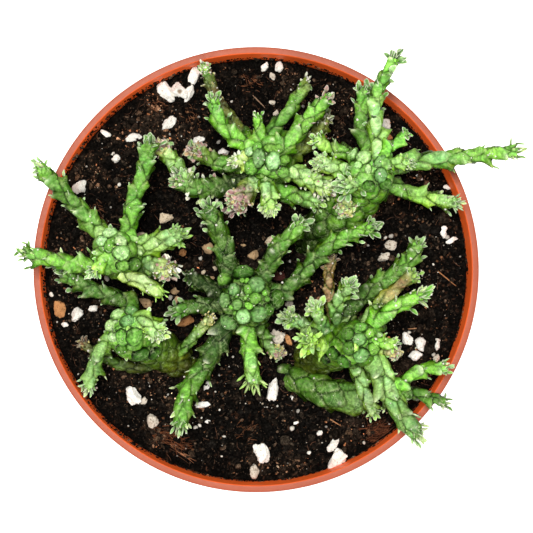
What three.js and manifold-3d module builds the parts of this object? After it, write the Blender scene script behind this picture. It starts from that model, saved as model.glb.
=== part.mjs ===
// A potted euphorbia of the snake-armed kind: thick stems that end in crowns, with arms spreading
// from each crown, in a round nursery pot filled with peat mix.
// Units are millimetres and +Z is up. The origin is the centre of the pot's underside. The pot is
// seen from above with +X to the right and +Y to the top.
import * as THREE from "three";
import { mergeVertices } from "three/addons/utils/BufferGeometryUtils.js";
import Module from "manifold-3d";

const wasm = await Module();
wasm.setup();

// Driving dimensions of the pot
const POT_HEIGHT = 96;
const RIM_RADIUS = 60;
const RIM_WALL = 1.6;
const COLLAR_HEIGHT = 15;
const COLLAR_STEP = 1.8; // how far the wall steps in under the collar
const DRAFT = 0.8; // how much narrower the collar is at its foot
const BASE_RADIUS = 42;
const WALL = 1.3;
const FLOOR = 1.8;
const FOOT_WIDTH = 8;
const FOOT_HEIGHT = 1.5; // how far the floor stands clear between the foot ring and the centre pad
const PAD_RADIUS = 14;
const EDGE = 0.5; // the rounding of the pot's edges
const DRAIN_RADIUS = 3.5;
const DRAIN_CIRCLE = 24.5;
const DRAIN_COUNT = 8;
const POT_SIDES = 64;
const DRAIN_SIDES = 16;

// Driving dimensions of the mix and the plant
const SOIL_DEPTH = 7.5; // from the rim down to the mix
const SOIL_Z = POT_HEIGHT - SOIL_DEPTH;
const SOIL_WAVE = 0.7; // how far the mix rises and falls about its level
const WAVE_LONG = 7.7; // the lengths that those waves take to turn by one radian
const WAVE_SHORT = 4.7;
const SOIL_RINGS = 7;
const GAP = 0.3; // what touching pieces keep between them
const LIMB_SIDES = 8;
const STEM_SIDES = 12;
const RING_STEP = 4.2; // the distance between an arm's rings
const ROOT_SHARE = 0.7; // how far an arm's root reaches in towards its stem's axis
const STEM_RINGS = 7;
const SWELL_START = 0.35; // where a stem begins to swell towards its crown, as a share of its length
const SWELL_END = 0.8;
const DOME_SHARE = 0.75; // the height of a crown's dome as a share of the crown's radius
const DOME_RINGS = [0.45, 0.8]; // shares of the quarter turn at which a dome has its rings
const BEND_STEPS = 48; // the number of frames that a limb is bent along
const MERGE_DISTANCE = 1e-4; // vertices nearer than this are one vertex

// Each colour is the middle one of its piece.
const TERRACOTTA = { color: 0xc8684a, roughness: 0.6, metalness: 0 };
const PEAT = { color: 0x1d1613, roughness: 0.95, metalness: 0 };
const STEM_GREEN = { color: 0x5c8a4c, roughness: 0.5, metalness: 0 };
const ARM_GREEN = { color: 0x7db463, roughness: 0.5, metalness: 0 };
const PERLITE = { color: 0xe9e4da, roughness: 0.9, metalness: 0 };

// A stem's route starts in the mix and ends at the top of its crown. Each point is x, y and the
// height above the mix. `foot` and `crown` are its radii at those ends.
const STEMS = {
  stem_a: {
    foot: 5.4, crown: 8.4,
    route: [[-2, -9, -10], [-2.3, -8.7, 6], [-2.5, -8.5, 22]],
  },
  stem_b: {
    foot: 5, crown: 7,
    route: [[4, 25, -10], [3.2, 27.5, 8], [2.3, 28.9, 26]],
  },
  stem_c: {
    foot: 5.4, crown: 6.6,
    route: [[13, 6, -9], [18.5, 11.5, 5], [26.8, 19.4, 17], [30, 26.3, 30]],
  },
  stem_d: {
    foot: 5, crown: 6.6,
    route: [[-28.5, -1, -9], [-31.5, 0.5, 5], [-36, 3, 15], [-38, 4.6, 25]],
  },
  stem_e: {
    foot: 4.6, crown: 6.6,
    route: [[-19.5, -25.5, -8], [-22.6, -23.8, 3], [-29.4, -19.6, 13], [-35.8, -15.6, 23]],
  },
  stem_f: {
    foot: 5.6, crown: 6,
    route: [[14, -24.5, -8], [17.5, -22.5, 4], [22.5, -20.5, 15], [28.4, -19.3, 25]],
  },
  stem_g: {
    foot: 3.4, crown: 4.1,
    route: [[4, -26.4, -9], [10.5, -29.8, -0.4], [18, -33, 4.4], [30, -36.2, 5.8]],
  },
};

// An arm is `on` its stem or a larger arm. `base` and `tip` are its diameters at its two ends.
const ARMS = {
  arm_a1: {
    on: "stem_a", base: 6.6, tip: 4.6,
    route: [[-7.6, 0.4, 11], [-9, 6.6, 13], [-11.2, 12, 15], [-13.6, 16.4, 17]],
  },
  arm_a2: {
    on: "stem_a", base: 5.6, tip: 4,
    route: [[2.3, -0.8, 14], [5.4, 5.2, 17], [12.2, 11.8, 20]],
  },
  arm_a3: {
    on: "stem_a", base: 4.6, tip: 3.6,
    route: [[7.2, -5.8, 14], [12, -1.6, 14], [18, 5, 14.4], [23.4, 8.3, 15], [31, 11, 17]],
  },
  arm_a4: {
    on: "stem_a", base: 3.8, tip: 3.2,
    route: [[1.2, -16, 8], [3.2, -20.6, 9], [6.4, -23.2, 11]],
  },
  arm_a5: {
    on: "stem_a", base: 4.9, tip: 4.2,
    route: [[-2.7, -14.5, 14], [-2.2, -20.3, 16], [-1, -31, 17]],
  },
  arm_a6: {
    on: "stem_a", base: 6.4, tip: 4.6,
    route: [[-8.8, -16.3, 10], [-12.9, -24.2, 10], [-18.8, -33.4, 12], [-20.4, -42.2, 14]],
  },
  arm_a7: {
    on: "stem_a", base: 5, tip: 3.6,
    route: [[-10, -9.8, 9.5], [-16, -10, 10], [-22.6, -11.8, 11]],
  },
  arm_a8: {
    on: "stem_a", base: 4.8, tip: 4.2,
    route: [[-11.2, -5.6, 6], [-15.4, -3.6, 7], [-19, -1.6, 8]],
  },

  arm_b1: {
    on: "stem_b", base: 4.6, tip: 3.2,
    route: [[-4.2, 33.2, 20], [-9, 36.5, 21], [-12, 44.2, 22]],
  },
  arm_b2: {
    on: "stem_b", base: 3.6, tip: 3.2,
    route: [[-3.2, 35.4, 12], [-7.6, 41, 10], [-11.2, 46.8, 9], [-13.4, 52.8, 9]],
  },
  arm_b3: {
    on: "stem_b", base: 4, tip: 3,
    route: [[3.2, 34.9, 18], [8.2, 41.2, 17], [13.2, 49.6, 16]],
  },
  arm_b4: {
    on: "stem_b", base: 5, tip: 3.8,
    route: [[7.4, 32.2, 22], [12.8, 38.4, 21], [18.6, 44.6, 21]],
  },
  arm_b5: {
    on: "stem_b", base: 4.8, tip: 3.6,
    route: [[9.4, 30.4, 13], [15.4, 35.4, 12], [18.6, 41, 12]],
  },
  arm_b6: {
    on: "stem_b", base: 5.2, tip: 4,
    route: [[-5.4, 27.6, 13], [-10.6, 28.4, 12], [-17.4, 31.8, 13]],
  },
  arm_b7: {
    on: "stem_b", base: 4.8, tip: 4,
    route: [[2.3, 22.6, 20], [2.7, 19.6, 22], [3.2, 14.3, 22]],
  },
  arm_b8: {
    on: "stem_b", base: 5.2, tip: 5.2,
    route: [[8, 25.6, 18], [12.6, 24, 18], [19.4, 20.2, 18]],
  },
  arm_b9: {
    on: "stem_b", base: 4.6, tip: 4.2,
    route: [[6.2, 20.4, 11], [10.5, 19.2, 12], [16.5, 17.3, 15]],
  },
  arm_b10: {
    on: "stem_b", base: 6.2, tip: 5.2,
    route: [[-4.6, 23.4, 7], [-11, 21.8, 9], [-17.5, 22, 12], [-21, 25.2, 15]],
  },
  arm_b11: {
    on: "stem_b", base: 4.6, tip: 6.4,
    route: [[-1.4, 22, 17], [-4, 18.8, 19], [-6.9, 15.4, 20]],
  },
  arm_b12: {
    on: "arm_b10", base: 4.6, tip: 4,
    route: [[-21.6, 27.2, 13.8], [-23.8, 30.2, 14.2], [-26, 33.2, 14.5]],
  },

  arm_c1: {
    on: "stem_c", base: 4.4, tip: 3.4,
    route: [[28.6, 31, 20], [27.2, 38.2, 19], [28.2, 47.2, 20]],
  },
  arm_c2: {
    on: "stem_c", base: 4.2, tip: 3,
    route: [[31, 31.6, 26], [30.6, 36, 26], [30.8, 45, 27], [35.4, 54, 29]],
  },
  arm_c3: {
    on: "stem_c", base: 5.4, tip: 3.2,
    route: [[36.6, 26.8, 24], [48.7, 28.2, 25], [58.6, 29.2, 26], [67, 30.2, 27]],
  },
  arm_c4: {
    on: "stem_c", base: 4.6, tip: 3.4,
    route: [[35, 21.6, 18], [42.2, 19.2, 17], [53, 17.1, 17]],
  },
  arm_c5: {
    on: "stem_c", base: 3.8, tip: 3.2,
    route: [[23.6, 29.8, 21], [19, 31.2, 21], [14.8, 33.8, 22]],
  },
  arm_c6: {
    on: "stem_c", base: 4.2, tip: 4.6,
    route: [[22.6, 25.6, 21], [18.6, 26.4, 22], [15.2, 27.8, 23]],
  },
  arm_c7: {
    on: "stem_c", base: 4.4, tip: 4,
    route: [[26, 22, 28], [23.6, 20.8, 30], [21.6, 20.6, 31]],
  },
  arm_c8: {
    on: "stem_c", base: 5, tip: 5.4,
    route: [[24, 17.6, 18], [23, 15.6, 21], [22, 14.4, 22.5]],
  },

  arm_d1: {
    on: "stem_d", base: 5.2, tip: 3.8,
    route: [[-42.2, 10.4, 19], [-47.2, 16, 20], [-52.4, 21.4, 21], [-57.2, 26.4, 22]],
  },
  arm_d2: {
    on: "stem_d", base: 4.6, tip: 3.8,
    route: [[-33.8, 10.2, 18], [-32.9, 16.5, 18], [-30.4, 23.5, 19], [-28.4, 33, 20]],
  },
  arm_d3: {
    on: "stem_d", base: 4.6, tip: 3.6,
    route: [[-43, 0.4, 18], [-49.1, 1.1, 19], [-61.2, 4.1, 20]],
  },
  arm_d4: {
    on: "stem_d", base: 6, tip: 5.4,
    route: [[-31.6, 5.4, 18], [-26.9, 6.5, 18], [-19.6, 8.6, 19]],
  },
  arm_d5: {
    on: "stem_d", base: 4.4, tip: 3.8,
    route: [[-34.4, -2, 19], [-30.3, -3.7, 20], [-24.8, -7.2, 20]],
  },

  arm_e1: {
    on: "stem_e", base: 5, tip: 3.6,
    route: [[-34.6, -9.4, 13], [-40.4, -6.8, 13], [-47, -3.8, 13], [-51.6, -1.1, 13.5]],
  },
  arm_e2: {
    on: "stem_e", base: 4.4, tip: 3.4,
    route: [[-39.6, -19.6, 18], [-42.2, -23.7, 17], [-44.6, -32, 15]],
  },
  arm_e3: {
    on: "stem_e", base: 3.4, tip: 2.4,
    route: [[-30.1, -26.5, 4.6], [-38.2, -25.3, 4.6], [-47.4, -20, 5]],
  },
  arm_e4: {
    on: "stem_e", base: 5.2, tip: 5,
    route: [[-30.6, -13.8, 21.5], [-28, -15, 23.5], [-25, -17.4, 23.5]],
  },
  arm_e5: {
    on: "stem_e", base: 2.8, tip: 3.2,
    route: [[-20.9, -22.6, 8], [-16.6, -17.9, 12], [-11.8, -12.8, 15]],
  },

  arm_f1: {
    on: "stem_f", base: 4.6, tip: 3.6,
    route: [[30.4, -15, 20], [35.1, -10.8, 21], [43, -7, 22]],
  },
  arm_f2: {
    on: "stem_f", base: 4, tip: 3.2,
    route: [[29.8, -12.8, 14], [35.2, -6.6, 15], [42.2, -1.4, 16]],
  },
  arm_f3: {
    on: "stem_f", base: 6.2, tip: 4,
    route: [[24.8, -10.4, 10], [32.6, -4.4, 11], [39.6, 1.2, 13], [43, 7.2, 15]],
  },
  arm_f4: {
    on: "stem_f", base: 4, tip: 3.4,
    route: [[20.8, -13, 17], [21.4, -8.4, 18], [24.6, -4.4, 19]],
  },
  arm_f5: {
    on: "stem_f", base: 3.8, tip: 3.4,
    route: [[17, -15, 17], [15.8, -12.4, 19], [14.4, -9.8, 20]],
  },
  arm_f6: {
    on: "stem_f", base: 4.4, tip: 3.6,
    route: [[13.6, -16, 11], [10.6, -14, 12], [7.4, -12.8, 13]],
  },
  arm_f7: {
    on: "stem_f", base: 4.4, tip: 4,
    route: [[15.6, -20, 19], [13.8, -19.3, 22], [12.5, -18.8, 25]],
  },
  arm_f8: {
    on: "stem_f", base: 3, tip: 2.8,
    route: [[19.7, -8.4, 9], [19.3, -1, 9], [20.3, 3.4, 9]],
  },
  arm_f9: {
    on: "stem_f", base: 4, tip: 3.2,
    route: [[25.9, -26.2, 14], [27.9, -31.5, 13.5], [31, -38.8, 13]],
  },
  arm_f10: {
    on: "stem_f", base: 7.6, tip: 4.8,
    route: [[31.2, -25.2, 18], [34.3, -32.1, 18], [37.5, -37.9, 18], [42.4, -44.4, 18]],
  },
  arm_f11: {
    on: "arm_f10", base: 3.8, tip: 2.8,
    route: [[38.2, -30, 17], [43.3, -27, 17], [49.4, -26.1, 17]],
  },
  arm_f12: {
    on: "arm_f10", base: 3.4, tip: 2.4,
    route: [[40, -32.9, 15], [45.4, -34.2, 15], [49.8, -35.7, 15]],
  },
};

// The largest grain on the mix: its centre and the half lengths of its three sides.
const GRAINS = {
  perlite_large: { at: [5.4, -18.9, 1.6], half: [2.5, 2.4, 2.2], turn: 0.5 },
};

// A closed mesh as a solid, with its shared vertices merged.
function solidOf(geometry) {
  const bare = geometry.clone();
  bare.deleteAttribute("normal");
  bare.deleteAttribute("uv");
  const merged = mergeVertices(bare, MERGE_DISTANCE);
  return new wasm.Manifold(
    new wasm.Mesh({
      numProp: 3,
      vertProperties: merged.attributes.position.array,
      triVerts: new Uint32Array(merged.index.array),
    }),
  );
}

// A solid's surface as a named mesh with a finish of its own.
function meshOf(name, solid, finish) {
  const surface = solid.getMesh();
  const geometry = new THREE.BufferGeometry()
    .setAttribute("position", new THREE.BufferAttribute(surface.vertProperties, 3))
    .setIndex(new THREE.BufferAttribute(surface.triVerts, 1));
  geometry.computeVertexNormals();
  const mesh = new THREE.Mesh(geometry, new THREE.MeshStandardMaterial(finish));
  mesh.name = name;
  return mesh;
}

// A profile of radius and height, turned about +Z.
function turned(profile, sides) {
  const points = profile.map(([radius, height]) => new THREE.Vector2(radius, height));
  return new THREE.LatheGeometry(points, sides).rotateX(Math.PI / 2);
}

// The pot's inner wall, from the rim down to the floor. `inset` moves it in towards the axis.
function innerWall(inset) {
  const collarFoot = POT_HEIGHT - COLLAR_HEIGHT;
  return [
    [RIM_RADIUS - RIM_WALL - inset, POT_HEIGHT],
    [RIM_RADIUS - RIM_WALL - DRAFT - inset, collarFoot],
    [RIM_RADIUS - COLLAR_STEP - DRAFT - WALL - inset, collarFoot - 2 * WALL],
    [BASE_RADIUS - WALL - inset, FOOT_HEIGHT + FLOOR],
  ];
}

// The pot in one moulding: foot ring, tapered wall, collar and rim, with drain holes in the floor.
function makePot() {
  const collarFoot = POT_HEIGHT - COLLAR_HEIGHT;
  const outside = [
    [0, 0],
    [PAD_RADIUS, 0],
    [PAD_RADIUS + EDGE, FOOT_HEIGHT],
    [BASE_RADIUS - FOOT_WIDTH - EDGE, FOOT_HEIGHT],
    [BASE_RADIUS - FOOT_WIDTH, 0],
    [BASE_RADIUS - 2 * EDGE, 0],
    [BASE_RADIUS, 2 * EDGE],
    [RIM_RADIUS - COLLAR_STEP - DRAFT, collarFoot],
    [RIM_RADIUS - DRAFT - EDGE, collarFoot],
    [RIM_RADIUS - DRAFT, collarFoot + EDGE],
    [RIM_RADIUS, POT_HEIGHT - EDGE],
    [RIM_RADIUS - EDGE, POT_HEIGHT],
  ];
  const inside = [...innerWall(0), [0, FOOT_HEIGHT + FLOOR]];
  let pot = solidOf(turned([...outside, ...inside], POT_SIDES));
  for (let i = 0; i < DRAIN_COUNT; i++) {
    const angle = (i * 2 * Math.PI) / DRAIN_COUNT;
    const drill = new THREE.CylinderGeometry(DRAIN_RADIUS, DRAIN_RADIUS, 4 * FLOOR, DRAIN_SIDES)
      .rotateX(Math.PI / 2)
      .translate(DRAIN_CIRCLE * Math.cos(angle), DRAIN_CIRCLE * Math.sin(angle), FOOT_HEIGHT);
    pot = pot.subtract(solidOf(drill));
  }
  return pot;
}

// The block of mix: it fills the pot up to its level, with low waves on top that die out at the wall.
function makeSoil() {
  const [rim, ...wall] = innerWall(GAP);
  const depthShare = SOIL_DEPTH / COLLAR_HEIGHT;
  const edge = THREE.MathUtils.lerp(rim[0], wall[0][0], depthShare);
  const floor = FOOT_HEIGHT + FLOOR + GAP;
  const side = wall.reverse().map(([radius, height]) => [radius, Math.max(height, floor)]);
  const rings = Array.from({ length: SOIL_RINGS + 1 }, (_, i) => edge * (1 - i / SOIL_RINGS));
  const top = rings.map((radius) => [radius, SOIL_Z]);
  const block = turned([[0, floor], ...side, ...top], POT_SIDES);
  const place = block.attributes.position;
  for (let i = 0; i < place.count; i++) {
    if (place.getZ(i) < SOIL_Z - EDGE) continue;
    const x = place.getX(i);
    const y = place.getY(i);
    const fade = 1 - (Math.hypot(x, y) / edge) ** 4;
    const wave = Math.sin(x / WAVE_LONG) * Math.cos(y / WAVE_LONG) + Math.sin((x + y) / WAVE_SHORT) / 2;
    place.setZ(i, SOIL_Z + SOIL_WAVE * wave * fade);
  }
  return solidOf(block);
}

// The points of a route of [x, y, height above the mix].
function placed(route) {
  return route.map(([x, y, height]) => new THREE.Vector3(x, y, SOIL_Z + height));
}

// The point of a curve that is nearest to another point.
function nearestOn(curve, point) {
  const nearer = (a, b) => (b.distanceTo(point) < a.distanceTo(point) ? b : a);
  return curve.getSpacedPoints(BEND_STEPS).reduce(nearer);
}

// A round limb: a profile of share along the curve and radius, closed by a dome at its far end, is
// turned straight and then bent onto the curve. `grow` thickens it all over.
function makeLimb({ curve, radiusAt, dome, rings, sides }, grow = 0) {
  const length = curve.getLength();
  const shares = Array.from({ length: rings + 1 }, (_, i) => (i / rings) * (1 - dome / length));
  const profile = [[0, 0], ...shares.map((share) => [radiusAt(share) + grow, share])];
  const last = radiusAt(1) + grow;
  for (const share of DOME_RINGS) {
    const lean = (share * Math.PI) / 2;
    profile.push([last * Math.cos(lean), 1 - (dome / length) * (1 - Math.sin(lean))]);
  }
  profile.push([0, 1]);
  const straight = new THREE.LatheGeometry(
    profile.map(([radius, share]) => new THREE.Vector2(radius, share)),
    sides,
  );
  const place = straight.attributes.position;
  const frames = curve.computeFrenetFrames(BEND_STEPS);
  for (let i = 0; i < place.count; i++) {
    const share = THREE.MathUtils.clamp(place.getY(i), 0, 1);
    const step = Math.round(share * BEND_STEPS);
    const push = share === 0 ? -grow : share === 1 ? grow : 0;
    const bent = curve
      .getPointAt(share)
      .addScaledVector(frames.binormals[step], place.getX(i))
      .addScaledVector(frames.normals[step], place.getZ(i))
      .addScaledVector(frames.tangents[step], push);
    place.setXYZ(i, bent.x, bent.y, bent.z);
  }
  return solidOf(straight);
}

// A stem's shape: its radius swells smoothly from the foot to the crown, which ends in a dome.
function stemShape({ foot, crown, route }) {
  const swell = (share) => THREE.MathUtils.smoothstep(share, SWELL_START, SWELL_END);
  const radiusAt = (share) => THREE.MathUtils.lerp(foot, crown, swell(share));
  const curve = new THREE.CatmullRomCurve3(placed(route));
  return { curve, radiusAt, dome: DOME_SHARE * crown, rings: STEM_RINGS, sides: STEM_SIDES };
}

// An arm's shape: it starts inside what it grows on and thins evenly to its tip.
function armShape({ on, base, tip, route }) {
  const points = placed(route);
  const axis = nearestOn(shapes[on].curve, points[0]);
  const root = points[0].clone().lerp(axis, ROOT_SHARE);
  const curve = new THREE.CatmullRomCurve3([root, ...points]);
  const radiusAt = (share) => THREE.MathUtils.lerp(base, tip, share) / 2;
  const rings = Math.round(curve.getLength() / RING_STEP) + 1;
  return { curve, radiusAt, dome: tip / 2, rings, sides: LIMB_SIDES };
}

// A rough grain with its own proportions, or that grain thickened all over.
function makeGrain({ at, half, turn }, grow = 0) {
  return solidOf(
    new THREE.IcosahedronGeometry(1, 1)
      .scale(...half.map((size) => size + grow))
      .rotateZ(turn)
      .translate(at[0], at[1], SOIL_Z + at[2]),
  );
}

// Whether two boxes meet.
function boxesMeet(a, b) {
  return [0, 1, 2].every((k) => a.min[k] < b.max[k] && b.min[k] < a.max[k]);
}

// A solid cut clear of those pieces that it meets, keeping its largest part.
function cutClear(solid, others) {
  const box = solid.boundingBox();
  const near = others.filter((other) => boxesMeet(box, other.boundingBox()));
  const cut = near.reduce((rest, other) => rest.subtract(other), solid);
  return cut.decompose().reduce((a, b) => (b.volume() > a.volume() ? b : a));
}

const shapes = {};
for (const [name, stem] of Object.entries(STEMS)) shapes[name] = stemShape(stem);
for (const [name, arm] of Object.entries(ARMS)) shapes[name] = armShape(arm);

// Each limb is cut clear of the ones before it, and the mix is cut clear of them all.
const plant = new THREE.Group();
const clearances = [];
for (const [name, shape] of Object.entries(shapes)) {
  const finish = name in STEMS ? STEM_GREEN : ARM_GREEN;
  plant.add(meshOf(name, cutClear(makeLimb(shape), clearances), finish));
  clearances.push(makeLimb(shape, GAP));
}
for (const [name, grain] of Object.entries(GRAINS)) {
  plant.add(meshOf(name, cutClear(makeGrain(grain), clearances), PERLITE));
  clearances.push(makeGrain(grain, GAP));
}

const potted = new THREE.Group();
potted.add(meshOf("pot", makePot(), TERRACOTTA));
potted.add(meshOf("soil", cutClear(makeSoil(), clearances), PEAT));
potted.add(plant);

export default potted;
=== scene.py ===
"""A potted euphorbia with snake-like arms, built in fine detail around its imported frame.

Lengths are millimetres while a shape is made, and metres in Blender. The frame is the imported
model's: +Z up, the origin under the pot's centre, +X to the right and +Y to the top seen from above.
"""

import sys

import itertools
import logging
import math
from dataclasses import dataclass, replace
from enum import Enum
from typing import Callable, Sequence

import bmesh
import bpy
import numpy as np
from mathutils import Matrix, Vector

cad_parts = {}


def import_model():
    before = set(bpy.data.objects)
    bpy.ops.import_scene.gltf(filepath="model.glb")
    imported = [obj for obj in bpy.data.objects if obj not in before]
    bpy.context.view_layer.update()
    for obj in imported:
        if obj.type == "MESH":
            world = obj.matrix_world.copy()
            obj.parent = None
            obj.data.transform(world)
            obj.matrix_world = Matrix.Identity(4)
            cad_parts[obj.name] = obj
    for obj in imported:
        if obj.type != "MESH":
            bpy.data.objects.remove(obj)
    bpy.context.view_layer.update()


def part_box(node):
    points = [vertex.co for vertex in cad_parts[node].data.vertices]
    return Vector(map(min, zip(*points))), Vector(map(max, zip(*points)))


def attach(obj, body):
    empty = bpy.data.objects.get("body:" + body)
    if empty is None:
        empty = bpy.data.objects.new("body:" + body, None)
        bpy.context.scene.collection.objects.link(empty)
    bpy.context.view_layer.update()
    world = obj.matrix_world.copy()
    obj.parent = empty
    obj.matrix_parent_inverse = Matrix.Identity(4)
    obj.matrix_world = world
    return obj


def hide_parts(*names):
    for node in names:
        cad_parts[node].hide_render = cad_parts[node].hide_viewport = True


log = logging.getLogger("euphorbia")

MM = 0.001
BODY = "root"
TINT = "Tint"
SOILED = "Soiled"
PAINTED_GLOW = "painted_glow"  # where the inner wall glows: painted light standing in for lamp light that reaches it
MIXED = 2  # the output socket of a mix node that carries its colour
GOLDEN_TURN = math.pi * (3 - math.sqrt(5))  # the turn from one tubercle to the next
MIX_LEVEL = 88.5  # the mix's mean level above the surface that the pot stands on
HEXAGON_AREA = 2 * math.sqrt(3)  # a hexagon's area as a multiple of its inner radius squared
UPWARD = np.array([0.0, 0.0, 1.0])
WRINKLE = 0.8  # the distance between the fine wrinkles across skin
SLIMMER = 0.86  # an arm's skin before its bumps, over the arm's outer size
ROOT_SHARE = 0.7  # how far an arm's root reaches in towards the axis of what it grows on
BRIGHTEST = np.array([0.6, 0.8, 0.38])  # the palest that skin gets
LIGHT_SCAR = np.array([[0.75, 0.74, 0.6]])
MIX_REACH = 57.5  # the radius where the mix's waves have died away and its bank is highest
GRAIN_LIFT = 0.35  # how far a grain's middle lies above the mix, as a share of its height

Point = tuple[float, float, float]
Route = tuple[Point, ...]
Colour = tuple[float, float, float]
Range = tuple[float, float]
Array = np.ndarray
Radius = Callable[[Array], Array]
Node = bpy.types.Node
Output = tuple[Node, str | int]


def linear(red: int, green: int, blue: int) -> Colour:
    """A colour given as 0 to 255 on a screen, as linear light."""
    return tuple(
        value / 12.92 if value <= 0.04045 else ((value + 0.055) / 1.055) ** 2.4
        for value in (red / 255, green / 255, blue / 255)
    )


# OUTER_WALL is the pot's own colour; the inner wall's brighter orange is painted light.
OUTER_WALL, INNER_WALL_WITH_PAINTED_LIGHT = linear(164, 76, 46), linear(255, 104, 36)
CRUMB_TINTS = np.array(
    [[0.007, 0.006, 0.005], [0.033, 0.025, 0.018], [0.09, 0.06, 0.04], [0.21, 0.1, 0.05], [0.4, 0.33, 0.24]]
)


class Tone(Enum):
    """The plant's colours, from dark skin to dried leaf."""

    DEEP = linear(38, 70, 24)
    FOREST = linear(62, 104, 32)
    MID = linear(94, 146, 54)
    BRIGHT = linear(108, 172, 60)
    FRESH = linear(156, 204, 92)
    YELLOW = linear(196, 212, 124)
    PALE = linear(180, 204, 134)
    BLUE = linear(98, 142, 76)
    MINT = linear(142, 184, 112)
    OLIVE = linear(98, 108, 36)
    STRAW = linear(190, 180, 116)
    TAN = linear(178, 148, 110)
    PINK = linear(184, 146, 138)
    MAUVE = linear(140, 104, 104)
    BROWN = linear(116, 84, 58)
    CREAM = linear(232, 232, 212)


# ---------------------------------------------------------------- noise


def hashed(cells: Array, seed: int) -> Array:
    """Scatters whole-number cells evenly from 0 to 1.

    Args:
        cells: whole numbers, three in the last axis.
        seed: picks one of many scatterings.

    Returns:
        One number for each cell.
    """
    c = cells.astype(np.int64).astype(np.uint32)
    start = np.uint32((seed * 3266489917 + 374761393) & 0xFFFFFFFF)
    h = c[..., 0] * np.uint32(374761393) + c[..., 1] * np.uint32(668265263)
    h = h + c[..., 2] * np.uint32(2246822519) + start
    h = (h ^ (h >> np.uint32(15))) * np.uint32(2246822519)
    h = (h ^ (h >> np.uint32(13))) * np.uint32(3266489917)
    return ((h ^ (h >> np.uint32(16))) & np.uint32(0xFFFFFF)) / float(0x1000000)


def swell(points: Array, scale: float, seed: int = 0) -> Array:
    """Smooth noise from -1 to 1 whose lumps are about `scale` across.

    Args:
        points: places, three numbers in the last axis.
        scale: the size of a lump, in the points' own unit.
        seed: picks one of many noises.

    Returns:
        One number for each place.
    """
    place = points / scale
    cell = np.floor(place)
    share = place - cell
    share = share * share * (3 - 2 * share)
    total = np.zeros(points.shape[:-1])
    for corner in itertools.product((0, 1), repeat=3):
        offset = np.array(corner)
        weight = np.prod(np.where(offset == 1, share, 1 - share), axis=-1)
        total += weight * hashed(cell + offset, seed)
    return 2 * total - 1


def rough(points: Array, scale: float, octaves: int = 3, seed: int = 0) -> Array:
    """Noise from -1 to 1 with ever finer lumps on its lumps.

    Args:
        points: places, three numbers in the last axis.
        scale: the size of the coarsest lumps.
        octaves: how many sizes of lump there are, each half the one before.
        seed: picks one of many noises.

    Returns:
        One number for each place.
    """
    shares = [0.5**k for k in range(octaves)]
    layers = [share * swell(points, scale * share, seed + k) for k, share in enumerate(shares)]
    return sum(layers) / sum(shares)


def cells_of(points: Array, scale: float, seed: int = 0) -> tuple[Array, Array]:
    """How far each place is from the nearest two of many scattered seeds.

    Args:
        points: places, (n, 3).
        scale: the mean distance between the seeds.
        seed: picks one of many scatterings.

    Returns:
        The distance to the nearest seed and to the next, in units of `scale`.
    """
    place = points / scale
    cell = np.floor(place)
    found = []
    for corner in itertools.product((-1, 0, 1), repeat=3):
        near = cell + np.array(corner)
        jitter = np.stack([hashed(near, seed + axis) for axis in (11, 23, 37)], axis=-1)
        found.append(np.linalg.norm(near + jitter - place, axis=-1))
    nearest = np.partition(np.stack(found), 1, axis=0)
    return nearest[0], nearest[1]


def smooth(low: float, high: float, value: Array) -> Array:
    """Rises smoothly from 0 at `low` to 1 at `high`."""
    share = np.clip((value - low) / (high - low), 0, 1)
    return share * share * (3 - 2 * share)


def blended(start: Array, end: Array, share: Array) -> Array:
    """Colours part of the way from `start` to `end`, with one share for each."""
    share = np.asarray(share)[..., None]
    return np.asarray(start) * (1 - share) + np.asarray(end) * share


def along_tones(tones: Sequence[Tone], share: Array) -> Array:
    """The colours met on the way through some tones.

    Args:
        tones: the tones from root to tip.
        share: the places, from 0 at the root to 1 at the tip.

    Returns:
        One linear colour for each place.
    """
    stops = np.linspace(0, 1, len(tones))
    values = np.array([tone.value for tone in tones])
    return np.stack([np.interp(share, stops, values[:, k]) for k in range(3)], axis=-1)


# ---------------------------------------------------------------- meshes


@dataclass
class Form:
    """A closed shape: its points, its faces of three and of four corners, and a tint for each point."""

    points: Array
    quads: Array
    tris: Array
    tint: Array

    def moved(self, turn: Array, offset: Array) -> "Form":
        """The shape turned and scaled by a matrix, then moved."""
        return Form(self.points @ turn.T + offset, self.quads, self.tris, self.tint)


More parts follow.
